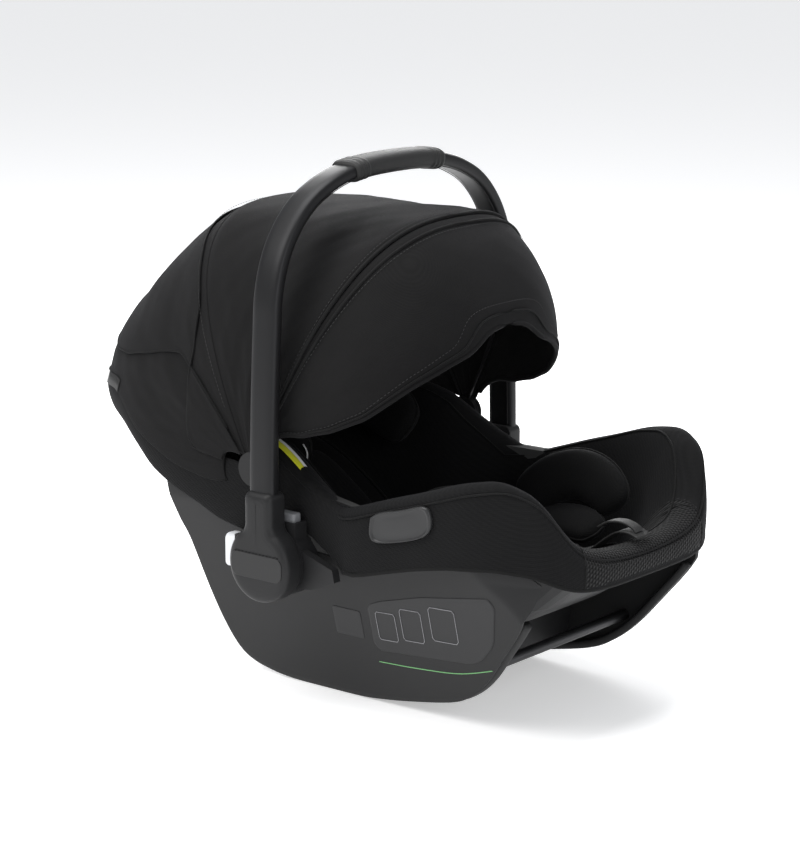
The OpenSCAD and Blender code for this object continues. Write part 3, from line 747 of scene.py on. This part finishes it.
# cushions grown along a spine: rings that pull in at both ends, with a piped edge
def cushion(name, spine, wide, thick, up, finish="pad", cad=(), body="seat", power=2.6, count=28, fill=0.7,
            piping=True):
    pts = curved([tuple(c * mm for c in p) for p in spine], 26)
    pts, runs = runAlong(pts)
    verts, edges = [], [[], []]
    n = len(pts)
    for i, (p, t) in enumerate(zip(pts, runs)):
        s = i / (n - 1)
        swell = max(1 - abs(2 * s - 1) ** 4.5, 0.0) ** 0.5
        swell = 0.1 + 0.9 * swell
        across = np.cross(t, np.array(up, float))
        across /= np.linalg.norm(across)
        high = np.cross(across, t)
        for a, b in ring(wide * mm / 2 * swell, thick * mm / 2 * min(1, swell * 1.05), count, power):
            pucker = 1 + 0.05 * math.sin(s * 40) * (abs(a) / (wide * mm / 2)) ** 3
            verts.append(p + across * a + high * b * pucker)
        edges[0].append(p + across * wide * mm / 2 * swell * 1.01)
        edges[1].append(p - across * wide * mm / 2 * swell * 1.01)
    faces = sheetFaces(n, count, True) + [tuple(range(count - 1, -1, -1)), tuple(range((n - 1) * count, n * count))]
    obj = outward(newPiece(name, verts, faces, finish, body, cad), 1e-7)
    settle(obj, soften(1))
    obj["fill"] = fill
    if piping:
        loop = edges[0] + edges[1][::-1]
        sweepPiece(name + "_piping", loop, ring(1.2 * mm, 1.2 * mm, 8), "piping", body, closed=True, up=up)
    return obj


def layerPiece(name, k0, d, finish, cad, puff=4.0):
    rows = []
    ks = [k0 + (9.99 - k0) * j / 22 for j in range(23)]
    first = [basinPoint(a, k0, -1.0) for a in angles(seat["around"])]
    for j, k in enumerate(ks):
        t = j / 22
        lift0 = d * min(1, 0.25 + 1.2 * math.sqrt(t))
        quilt = puff * abs(math.sin(t * math.pi * 2.0)) * (1 - t)
        rows.append([basinPoint(a, k, -(lift0 + quilt * 0.5)) for a in angles(seat["around"])])
    rows = [first] + rows
    obj = sheetPiece(name, [[(x * mm, y * mm, z * mm) for x, y, z in row] for row in rows], finish, "seat", cad, True)
    outward(obj)
    settle(obj, wall(2.0 * mm), soften(1))
    return obj


insertPad = layerPiece("insert_pad", 3, 14.0, "pad", ("body_insert",))
insertPad["fill"] = 0.6
sweepPiece("insert_piping", [tuple(c * mm for c in basinPoint(a, 3.0, -5.5)) for a in angles(200)],
           ring(1.5 * mm, 1.5 * mm, 8), "piping", closed=True)
for side, word in ((-1, "left"), (1, "right")):
    cushion("thigh_pad_" + word, [(side * 96, -238, 192), (side * 101, -218, 214), (side * 103, -186, 223),
                                  (side * 100, -150, 212),
                                  (side * 92, -112, 182)], 56, 30, (-side * 1.0, 0, 0.3), "pad")
    cushion("thigh_inner_pad_" + word, [(side * 66, -232, 172), (side * 78, -196, 176), (side * 82, -150, 168),
                                        (side * 74, -104, 148)],
            46, 26, (-side * 0.6, 0, 1), "pad")
    cushion("head_wing_" + word, [(side * 86, 40, 244), (side * 97, 88, 264), (side * 93, 146, 284),
                                  (side * 68, 200, 300)],
            64, 30, (-side * 1.0, -0.1, 0.35), "pad", ("head_insert",) if side < 0 else ())
sweepPiece("head_wing_trim", curved([(-0.0995, 0.052, 0.267), (-0.1005, 0.040, 0.262), (-0.1, 0.0335, 0.252),
                                     (-0.0985, 0.036, 0.240)], 20),
           ring(0.9 * mm, 0.9 * mm, 8), "white", up=(1, 0, 0))
print("inserts ready")

# canopy: a swept hood about the pivot, cut where its bows cross it
pivot = (35.0, 250.0)
crown = {"power": 2.7, "sides": 188.0, "bowRadius": 289.0, "sag": 6.0, "chord": 258.6}
rearRadius = [(24, 289), (27.25, 288), (45, 285), (55, 284), (66, 291), (80, 297), (114, 298)]
rearHem = [(0, 120), (44, 114), (82, 101), (139, 89.6), (178, 83.6), (203, 78.6), (225, 76), (299, 80)]
flapEdge = [(0, 36), (154, 44), (190, 57), (220, 64), (248, 67), (291, 67)]
rearSeam = [(0, 84), (86, 81), (109, 55), (146, 37), (181, 29.5), (202, 28.5), (242, 28.5), (289, 31)]
visorEdge = [(0, -32), (40, -36), (56, -42), (80, -56), (112, -61.5), (149, -62.5), (197, -59), (215, -58), (238, -56),
             (247, -53),
             (256, -50)]


def crownRadius(alpha):
    if alpha > 24:
        xs, ys = zip(*rearRadius)
        return float(np.interp(alpha, xs, ys))
    if alpha > -26:
        flat = crown["chord"] / max(math.cos(math.radians(alpha)), 0.7) + crown["sag"]
        return min(flat, crown["bowRadius"]) - 0.6
    return crown["bowRadius"] - 35 * max((-26 - alpha) / 24, 0) ** 1.6


def canopyPoint(alpha, s, out=0.0, radius=None):
    r0 = radius if radius is not None else crownRadius(alpha)
    power = crown["power"] + 0.95 * ease((alpha - 34) / 40)
    t = s * math.pi / 2
    x = crown["sides"] * lift(math.cos(t), power)
    r = r0 * lift(max(math.sin(abs(t)), 0), power)
    nx = abs(lift(math.cos(t), power)) ** (power - 1) / crown["sides"]
    nr = abs(r / max(r0, 1)) ** (power - 1) / r0
    size = math.hypot(nx, nr)
    x, r = x + out * nx / size, r + out * nr / size
    a = math.radians(alpha)
    return (x, pivot[0] + r * math.sin(a), pivot[1] + r * math.cos(a)), r


# arch runs from one side (-1) over the top (0) to the other (+1)
def archPoint(alpha, w, out=0.0, radius=None):
    s = 1 - abs(w)
    p, r = canopyPoint(alpha, s, out, radius)
    return ((p[0] if w > 0 else -p[0]), p[1], p[2]), r


def archSteps(count):
    out = []
    for i in range(count):
        w = -1 + 2 * i / (count - 1)
        out.append(math.copysign(abs(w) ** 0.8, w))
    return out


def wrinkle(alpha, w, size=1.0):
    return size * (1.3 * math.sin(alpha * 0.21 + 2.6 * w * math.sin(alpha * 0.06 + 1)) * math.sin(w * 9.0
        + alpha * 0.05)
                   + 0.9 * math.sin(w * 23 + 1.4 * math.sin(alpha * 0.12)) * math.sin(alpha * 0.33 + 1.2)
                   + 0.45 * math.sin(alpha * 0.9 + w * 14) * math.sin(w * 31))


def edgeAngle(edge, w):
    alpha = 60.0
    for _ in range(14):
        alpha += 0.6 * (edge(canopyPoint(alpha, 1 - abs(w))[1]) - alpha)
    return alpha


def hoodSheet(name, first, last, finish, body, cad, rowCount, thick=1.2, out=0.0, creases=1.0, fade=0.15, low=0.985,
              columns=121, smooth=1):
    rows = []
    for j in range(rowCount):
        t = j / (rowCount - 1)
        row = []
        for w in archSteps(columns):
            w *= low
            a0 = edgeAngle(first, w) if callable(first) else first
            a1 = edgeAngle(last, w) if callable(last) else last
            alpha = a0 + (a1 - a0) * t
            calm = min(1, t / fade, (1 - t) / fade, (1 - abs(w)) / 0.12)
            p, _ = archPoint(alpha, w, out + wrinkle(alpha, w, creases) * max(calm, 0))
            row.append(tuple(c * mm for c in p))
        rows.append(row)
    obj = sheetPiece(name, rows, finish, body, cad)
    outward(obj)
    up = max(obj.data.polygons, key=lambda f: f.center.z)
    if up.normal.z < 0:
        obj.data.flip_normals()
    settle(obj, wall(thick * mm), soften(smooth))
    return obj


def along(table, soft=6):
    return lambda r: tidyTable(table, r, soft)


hoodSheet("canopy_rear_cloth", 26.0, along(rearHem), "canopy", "seat", ("canopy_rear_panel",), 46, 1.4, 0.9, 0.8)
hoodSheet("canopy_rear_flap", along(rearSeam), along(flapEdge), "canopy", "seat", (), 26, 1.2, 3.2, 0.6, 0.2)
hoodSheet("canopy_top_cloth", 26.9, -25.9, "canopy", "canopy_mid", ("canopy_mid_panel", "canopy_front_panel"), 44, 1.3,
          0,
          0.75, 0.1)
hoodSheet("visor_cloth", -26.1, along(visorEdge), "canopy", "canopy_front", ("visor_panel",), 34, 1.3, 0, 0.5, 0.12,
          0.97)
print("canopy cloth ready")


def archPath(alpha, out, low=0.985, count=150, a=-1.0, b=1.0, radius=None):
    path = []
    for w in archSteps(count):
        if a <= w <= b:
            w *= low
            angle = edgeAngle(alpha, w) if callable(alpha) else alpha
            path.append(tuple(c * mm for c in archPoint(angle, w, out, radius)[0]))
    return path


sweepPiece("front_bow_piping_a", archPath(-25.6, 1.2), ring(2.0 * mm, 2.0 * mm, 10), "piping", "canopy_front",
           up=(1, 0.01, 0))
sweepPiece("front_bow_piping_b", archPath(-28.4, 0.8), ring(1.7 * mm, 1.7 * mm, 10), "piping", "canopy_front",
           up=(1, 0.01, 0))
sweepPiece("rear_seam_piping", archPath(along(rearSeam), 3.2, 0.97), ring(1.0 * mm, 1.0 * mm, 10), "piping", "seat",
           up=(1, 0.01, 0))
sweepPiece("visor_hem_tube", archPath(along(visorEdge), -1.2, 0.97), ring(3.0 * mm, 2.6 * mm, 12), "canopy", "visor",
           ("visor_wire",), up=(1, 0.01, 0))
sweepPiece("visor_hem_piping", archPath(lambda r: tidyTable(visorEdge, r, 6) + 1.0, 1.3, 0.97),
           ring(1.1 * mm, 1.1 * mm, 8),
           "piping", "visor", up=(1, 0.01, 0))
sweepPiece("flap_binding", archPath(along(flapEdge), 2.4, 0.94), ring(1.2 * mm, 1.2 * mm, 8), "piping", "seat",
           up=(1, 0.01, 0))
sweepPiece("rear_hem_binding", archPath(along(rearHem), -0.4, 0.985), ring(1.6 * mm, 1.3 * mm, 8), "piping", "seat",
           up=(1, 0.01, 0))
for word, alpha, body in (("bow_a", -24.3, "canopy_front"), ("bow_b", -29.6, "canopy_front"), ("rear_a", 28.6, "seat")):
    stitchRun("canopy_stitches_" + word, archPath(alpha, 1.35 if body != "seat" else 4.8, 0.9), body, 0.0046,
              "canopy_fabric")
stitchRun("visor_stitches", archPath(lambda r: tidyTable(visorEdge, r, 6) + 2.4, 1.15, 0.94), "canopy_front", 0.0046,
          "canopy_fabric")
print("canopy piping ready")

# handle: flat oval tube bent into a bail, with a wrapped grip in the middle
bail = {"tube": 16.0, "depth": 33.0, "power": 3.4, "gripHalf": 77.0, "top": 561.5, "collarTop": 233.0}
legSide = [(207.5, 206), (207.4, 239), (206.2, 290), (204, 345), (200.5, 404), (197.9, 438), (190.6, 467.5),
           (180.1, 490.3),
           (166.4, 509.5), (150.7, 525.1), (135, 536), (115, 545.5), (98, 551.5), (77, 556.6), (50, 560), (20, 561.4)]
bailPath = legSide + [(-x, z) for x, z in legSide[::-1]]


def bailCurve(count=220):
    return [(p[0] * mm, 0.0, p[1] * mm) for p in curved([(x, z, 0) for x, z in bailPath], count)]


bailLine = bailCurve()
sweepPiece("handle_tube_skin", bailLine, ring(bail["tube"] / 2 * mm, bail["depth"] / 2 * mm, 40, bail["power"]), "tube",
           "handle", ("handle_tube",), up=(0, 1, 0))
for y in (-12.4, 12.4):
    line = [(p[0], y * mm, p[2]) for p in bailLine
            if p[2] > (bail["collarTop"] + 3) * mm and abs(p[0]) > bail["gripHalf"] * mm]
    for side, word in ((-1, "left"), (1, "right")):
        inner = []
        for p, t in zip(*runAlong([p for p in line if p[0] * side > 0])):
            n = np.cross(t, (0, 1, 0))
            n *= -1 if n[0] * side > 0 or (abs(n[0]) < 0.3 and n[2] > 0) else 1
            inner.append(p + n * (bail["tube"] / 2 - 0.15) * mm)
        sweepPiece("handle_line_%s_%s" % (word, "front" if y < 0 else "back"), inner, ring(0.5 * mm, 0.5 * mm, 6),
                   "dark",
                   "handle", up=(0, 1, 0))

gripLine = [p for p in bailLine if abs(p[0]) < bail["gripHalf"] * mm]
gripRibs = (0.03, 0.075, 0.12, 0.88, 0.925, 0.97)


def gripSwell(t):
    swell = 1.0
    for c in gripRibs:
        swell += 0.055 * math.exp(-((t - c) / 0.011) ** 2)
    return swell * (0.965 + 0.035 * ease(min(t, 1 - t) / 0.02))


gripWrap = [tuple(p) for p in curved(gripLine, 160)]
sweepPiece("handle_grip_skin", gripWrap, ring(11.6 * mm, 19.0 * mm, 44, 2.7), "leather", "handle", ("handle_grip",),
           up=(0, 1, 0), size=gripSwell)
for word, y in (("front", -6.5), ("back", 6.5)):
    stitchRun("grip_stitches_" + word, [(p[0], y * mm, p[2] - 11.0 * mm) for p in gripWrap[8:-8]], "handle", 0.0034,
              "grip_leather")
print("handle ready")

# hub: round disc flowing up into the handle's socket
hub = {"radius": 41.3, "inner": 196.0, "neck": 18.6, "top": 236.0, "height": 158.0}


def hubOutline(count=120, shrink=0.0):
    radius = hub["radius"] - shrink
    neck = hub["neck"] - shrink
    top = hub["top"] - shrink
    pts = []
    blend = 15
    sideZ = hub["height"] + math.sqrt(max((radius + blend) ** 2 - (neck + blend) ** 2, 0))
    startA = math.atan2(sideZ - hub["height"], neck + blend)
    for a in np.linspace(startA, -math.pi - startA, 72):
        pts.append((radius * math.cos(a), hub["height"] + radius * math.sin(a)))
    for b in np.linspace(startA, 0, 9)[1:]:
        pts.append((-(neck + blend) + blend * math.cos(b), sideZ - blend * math.sin(b)))
    corner = 7
    for b in np.linspace(math.pi, math.pi / 2, 8):
        pts.append((-neck + corner + corner * math.cos(b), top - corner + corner * math.sin(b)))
    for b in np.linspace(math.pi / 2, 0, 8):
        pts.append((neck - corner + corner * math.cos(b), top - corner + corner * math.sin(b)))
    for b in np.linspace(0, startA, 9)[:-1]:
        pts.append((neck + blend - blend * math.cos(b), sideZ - blend * math.sin(b)))
    return pts


def hubPiece(name, side):
    stations = [(0, 3.5), (0, 1.2), (0.7, 0.2), (2, 0), (16.5, 0), (19.5, 0.3), (21.8, 1.2), (23.6, 2.8), (24.7, 5.2),
                (25.2, 8),
                (25.4, 12)]
    rows = []
    for out, shrink in stations:
        rows.append([(side * (hub["inner"] + out) * mm, y * mm, z * mm) for y, z in hubOutline(shrink=shrink)])
    n = len(rows[0])
    verts = [p for row in rows for p in row]
    faces = sheetFaces(len(rows), n, True)
    verts += [(side * hub["inner"] * mm, 0, 0.165), (side * (hub["inner"] + 25.5) * mm, 0, 0.165)]
    last = (len(rows) - 1) * n
    faces += [(i, len(verts) - 2, (i + 1) % n) for i in range(n)]
    faces += [(last + i, last + (i + 1) % n, len(verts) - 1) for i in range(n)]
    word = "left" if side < 0 else "right"
    obj = outward(newPiece(name, verts, faces, "dark", "handle", ("hub_arm_" + word, "hub_cap_" + word)))
    for face in obj.data.polygons:
        face.use_smooth = abs(face.normal.x) < 0.985
    return obj


def slabPiece(name, centre, size, round, axes, finish, body="seat", cad=(), bevel=1.0, count=8, lean=0.0):
    w, h, d = size
    pts = []
    for cx, cy, start in ((w / 2 - round, h / 2 - round, 0), (-w / 2 + round, h / 2 - round, 90),
                          (-w / 2 + round, -h / 2 + round, 180), (w / 2 - round, -h / 2 + round, 270)):
        for k in range(count + 1):
            a = math.radians(start + 90 * k / count)
            pts.append((cx + round * math.cos(a), cy + round * math.sin(a)))
    rows = []
    for out, shrink in ((0, bevel), (0, bevel * 0.7), (bevel * 0.3, bevel * 0.18), (bevel, 0), (d - bevel, 0),
                        (d - bevel * 0.3, bevel * 0.18), (d, bevel * 0.7), (d, bevel * 1.3)):
        row = []
        for x, y in pts:
            kx, ky = 1 - shrink * 2 / w, 1 - shrink * 2 / h
            x, y = x * kx, y * ky
            p = np.array(centre, float)
            for axis, reach in zip(axes, (x, y, out - d / 2)):
                p = p + np.array(axis) * reach
            row.append(tuple(p * mm))
        rows.append(row)
    n = len(pts)
    verts = [p for row in rows for p in row]
    last = (len(rows) - 1) * n
    faces = sheetFaces(len(rows), n, True) + [tuple(range(n - 1, -1, -1)), tuple(range(last, last + n))]
    return outward(newPiece(name, verts, faces, finish, body, cad), 1e-7)


xAxis, yAxis, zAxis = (1, 0, 0), (0, 1, 0), (0, 0, 1)
for side, word in ((-1, "left"), (1, "right")):
    hubPiece("hub_skin_" + word, side)
    outX = side * (hub["inner"] + 25.2)
    slabPiece("hub_band_" + word, (outX, 0, 157), (70, 27, 1.5), 9, (yAxis, zAxis, (side, 0, 0)), "gloss", "handle",
              bevel=0.5)
    slabPiece("hub_slot_" + word, (outX + side * 0.4, 0, 170.5), (60, 1.6, 1.2), 0.7, (yAxis, zAxis, (side, 0, 0)),
              "lip", "handle",
              bevel=0.3)
    slabPiece("release_button_face_" + word, (side * 184, 57.5, hub["height"]), (20.5, 36.6, 23), 6,
              (xAxis, zAxis, yAxis), "button",
              "release_button_" + word, ("release_button_" + word,), 1.6)
    slabPiece("top_tab_face_" + word, (side * 185, -13, 203.5), (12.8, 27.6, 15.4), 3.6, (xAxis, yAxis, zAxis), "tab",
              "top_tab_" + word, ("top_tab_" + word,), 1.8)
print("hubs ready")

# belt guide: rounded grey plate with a folded-in upper edge
guideShape = [(-132, 226), (-131, 208), (-140, 201), (-170, 206), (-197, 215), (-207, 226), (-206, 241), (-196, 247),
              (-168, 239), (-144, 233)]
for side, word in ((-1, "left"), (1, "right")):
    pts = [tuple(p) for p in curved([(y, z, 0) for y, z in guideShape + guideShape[:1]], 64)][:-1]
    mid = np.mean([p[:2] for p in pts], axis=0)
    rows = []
    for out, k in ((0, 1.0), (3.2, 1.0), (4.2, 0.985), (4.8, 0.955), (4.6, 0.92), (3.6, 0.895), (3.4, 0.86),
                   (3.9, 0.55),
                   (4.0, 0.2), (4.0, 0.0)):
        row = []
        for y, z, _ in pts:
            py, pz = mid[0] + (y - mid[0]) * k, mid[1] + (z - mid[1]) * k
            lean = (pz - 225) * 0.02 - (py + 168) * 0.05
            row.append((side * (188.4 + out - lean) * mm, py * mm, pz * mm))
        rows.append(row)
    guide = sheetPiece("belt_guide_face_" + word, rows, "guide", "seat", ("belt_guide_" + word,), True)
    faceSide(guide, side)
    settle(guide, wall(1.2 * mm))
print("belt guides ready")


# straps of the harness lie along the insert
def strapLine(points, high):
    return [(x * mm, y * mm, (floorZ(y) + high) * mm) for x, y in points]


def bandPiece(name, line, wide, thick, finish="webbing", body="seat", cad=(), up=zAxis, count=60):
    line = [tuple(p) for p in curved(line, count)]
    half, t = wide / 2 * mm, thick / 2 * mm
    section = [(-half, -t * 0.6), (-half * 0.96, -t), (-half * 0.5, -t), (0, -t), (half * 0.5, -t), (half * 0.96, -t),
               (half, -t * 0.6), (half, t * 0.6), (half * 0.96, t), (half * 0.5, t), (0, t), (-half * 0.5, t),
               (-half * 0.96, t),
               (-half, t * 0.6)]
    return sweepPiece(name, line, section, finish, body, cad, up)


insertTop = 19.5
for side, word in ((-1, "left"), (1, "right")):
    path = [(side * (14 + 30 * ease(y / 110)), y) for y in (-8, 10, 30, 50, 70, 90, 110, 130, 150, 170, 190, 206)]
    bandPiece("harness_band_" + word, strapLine(path, insertTop + 3), 24, 1.6, "webbing", "seat", ("harness_" + word,))
    padPath = [(side * (14 + 30 * ease(y / 110)), y, floorZ(y) + insertTop + 8) for y in (54, 74, 94, 114, 134, 158)]
    cushion("shoulder_pad_cloth_" + word, padPath, 46, 11, zAxis, "seat", ("shoulder_pad_" + word,), fill=0.5)
bandPiece("crotch_band", strapLine([(0, y) for y in (-100, -90, -80, -70, -60, -50, -41)], insertTop + 2.6), 38, 2,
          "webbing",
          "seat", ("crotch_strap",))
adjusterRoute = [(-193, 133), (-222, 142), (-245, 164), (-262, 172), (-280, 179), (-298, 193), (-312, 201.5),
                 (-326, 203), (-338, 199)]
bandPiece("adjuster_band", [(0, y * mm, (z + 1.4) * mm) for y, z in adjusterRoute], 26, 1.8, "webbing", "seat",
          ("adjuster_strap",), zAxis)
bandPiece("strap_tail_band", [(0, -0.2313, 0.150), (0, -0.2318, 0.126), (0, -0.2314, 0.104)], 24, 1.9, "webbing",
          "seat",
          ("strap_tail",), yAxis, 12)
print("harness ready")

# plain CAD pieces that stay as they are take a finish of their own
cadFinish = {
    "cross_member_front": "dark", "cross_member_rear": "dark", "front_latch_bar": "bar", "rear_latch_bar": "bar",
    "seat_tub": "dark", "foam_liner": "foam", "housing_left": "dark", "housing_right": "dark", "axle_left": "steel",
    "axle_right": "steel", "release_spring_left": "steel", "release_spring_right": "steel", "socket_screws": "steel",
    "canopy_pivot_left": "dark", "canopy_pivot_right": "dark", "canopy_mid_bow": "dark", "canopy_front_bow": "dark",
    "release_lever": "shell", "buckle_body": "dark", "buckle_button": "red", "adjuster_body": "dark",
             "adjuster_button": "guide"}


# head skirt: the shell's cloth cover behind the seat, below the rear canopy
skirtLow = [(24, 200), (36, 186), (44, 179), (58, 181), (89, 187), (120, 200), (160, 213), (192, 228), (214, 246),
            (246, 270), (290, 286), (330, 292)]
skirtTop = [(24, 251), (44, 252), (57, 256), (93, 259), (126, 263), (159, 270), (200, 283), (224, 302), (253, 316),
            (330, 318)]


def skirtRows(side):
    rows = []
    for j in range(22):
        t = j / 21
        row = []
        for i in range(110):
            y = 24 + (326.5 - 24) * (1 - (1 - i / 109) ** 1.9)
            share = max(1 - (max(y - 35, 0) / 291.7) ** 3.6, 0)
            x = 188.5 * share ** (1 / 3.6)
            low, top = tidyTable(skirtLow, y, 8), tidyTable(skirtTop, y, 8)
            z = low + (top - low) * t
            belly = 1.5 * math.sin(t * math.pi) - 2.5 * t - 5 * (1 - t) ** 3
            row.append((side * max(x + belly * x / 188.5, 0.05) * mm, (y + belly * (1 - x / 188.5)) * mm, z * mm))
        rows.append(row)
    return rows


for side, word in ((-1, "left"), (1, "right")):
    skirt = sheetPiece("head_skirt_cloth_" + word, skirtRows(side), "seat", "seat", ("head_skirt",))
    faceSide(skirt, side)
    settle(skirt, wall(1.6 * mm), soften(1))
print("skirt ready")

# small trims: blank label strip on the canopy hem, the yellow tag, the white side piping, the front pull loop
stripRows = {"white": (0.3, 0.455), "black": (0.455, 0.6)}
for word, (a, b) in stripRows.items():
    for side, sideWord in ((-1, "left"), (1, "right")):
        rows = []
        for lower in (0.2, 14.5):
            row = []
            for w in np.linspace(a, b, 30):
                alpha = edgeAngle(along(rearHem), w)
                reach = max(math.radians(1) * canopyPoint(alpha, 1 - w)[1], 0.6)
                p, _ = archPoint(alpha - lower / reach, side * w, 2.4)
                row.append(tuple(c * mm for c in p))
            rows.append(row)
        strip = sheetPiece("hem_strip_%s_%s" % (word, sideWord), rows, "white" if word == "white" else "webbing",
                           "seat")
        faceSide(strip, side)
        settle(strip, wall(0.5 * mm))

for word, (u0, u1), (y0, y1) in (("yellow", (7.5, 15), (-36, 30)), ("white", (15, 19), (-36, 34))):
    rows = []
    for u in np.linspace(u0, u1, 5):
        row = []
        for y in np.linspace(y0, y1, 30):
            x = -seat["halfWidth"] * tidyTable(waistLine, y / seat["halfLength"], 0.02)
            p = (x, y)
            q = inset(p, u)
            row.append((q[0] * mm, q[1] * mm, (rimZ(p) - 0.8 * max(12 - u, 0) * 0.3 + 1.9) * mm))
        rows.append(row)
    strip = sheetPiece("side_tag_" + word, rows, word, "seat")
    faceSide(strip, 1, 2)
    settle(strip, wall(0.6 * mm))
print("trims ready")

# front pull loop over the lip
loopPath = [(0, -0.284, 0.203), (0, -0.297, 0.2105), (0, -0.314, 0.2125), (0, -0.3275, 0.2085), (0, -0.331, 0.203),
            (0, -0.322, 0.2035)]
bandPiece("pull_loop", loopPath, 14, 2.2, "leather", up=zAxis, count=50)

# floor and soft studio light
studio = {"reach": 30, "drop": 0.0006, "floor": (0.86, 0.86, 0.865, 1), "floorRoughness": 0.7, "floorGlow": 0.42,
          "sky": (0.9, 0.92, 0.95, 1), "skyStrength": 0.5}
floorReach, floorLevel = studio["reach"], -studio["drop"]
floorMesh = bpy.data.meshes.new("studio_floor")
floorMesh.from_pydata([(x * floorReach, y * floorReach, floorLevel) for x, y in ((-1, -1), (1, -1), (1, 1), (-1, 1))],
                      [], [(0, 1, 2, 3)])
floorMesh.validate()
floor = bpy.data.objects.new("studio_floor", floorMesh)
bpy.context.scene.collection.objects.link(floor)
floorMesh.polygons.foreach_set("use_smooth", [True] * len(floorMesh.polygons))
if floorMesh.polygons[0].normal.z < 0:
    floorMesh.flip_normals()
floorMat = bpy.data.materials.new("studio_floor")
floorMat.use_nodes = True
floorShader = floorMat.node_tree.nodes["Principled BSDF"]
floorShader.inputs["Base Color"].default_value = studio["floor"]
floorShader.inputs["Roughness"].default_value = studio["floorRoughness"]
floorShader.inputs["Emission Color"].default_value = (1, 1, 1, 1)
floorShader.inputs["Emission Strength"].default_value = studio["floorGlow"]
floorMesh.materials.append(floorMat)


def areaLight(name, place, target, size, energy, tint=(1, 1, 1), sizeY=None):
    data = bpy.data.lights.new(name, "AREA")
    data.energy = energy
    data.color = tint
    data.shape = "RECTANGLE"
    data.size = size
    data.size_y = sizeY or size
    lamp = bpy.data.objects.new(name, data)
    lamp.location = place
    lamp.rotation_euler = (Vector(target) - Vector(place)).to_track_quat("-Z", "Y").to_euler()
    bpy.context.scene.collection.objects.link(lamp)
    return lamp


areaLight("key_light", (-2.3, 0.9, 2.6), (0, 0, 0.25), 1.8, 70, (1, 0.99, 0.975))
areaLight("front_light", (-1.4, -3.0, 1.3), (0, -0.1, 0.2), 2.2, 34, (0.98, 0.99, 1))
areaLight("top_light", (0.0, 0.35, 3.1), (0, 0, 0), 2.2, 95)
areaLight("rim_light", (1.9, 1.6, 1.5), (0, 0, 0.35), 1.4, 42)
world = bpy.data.worlds.new("studio")
world.use_nodes = True
world.node_tree.nodes["Background"].inputs[0].default_value = studio["sky"]
world.node_tree.nodes["Background"].inputs[1].default_value = studio["skyStrength"]
bpy.context.scene.world = world
bpy.context.scene.view_settings.view_transform = "Standard"
print("studio ready")

# hand every piece to its body
for name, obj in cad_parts.items():
    if name in cadFinish:
        obj.data.materials.clear()
        obj.data.materials.append(finishes[cadFinish[name]].mat)
blends = {"canopy_top_cloth": ("canopy_mid", "canopy_front", (0, 0.166, 0.507), (0, -0.092, 0.507)),
          "visor_cloth": ("canopy_front", "visor", (0, -0.15, 0.47), (0, -0.205, 0.40))}
for name, (obj, body, cad) in made.items():
    if name in blends:
        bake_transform(obj)
    else:
        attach(obj, body)
    if cad:
        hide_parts(*cad)
    "fill" in obj
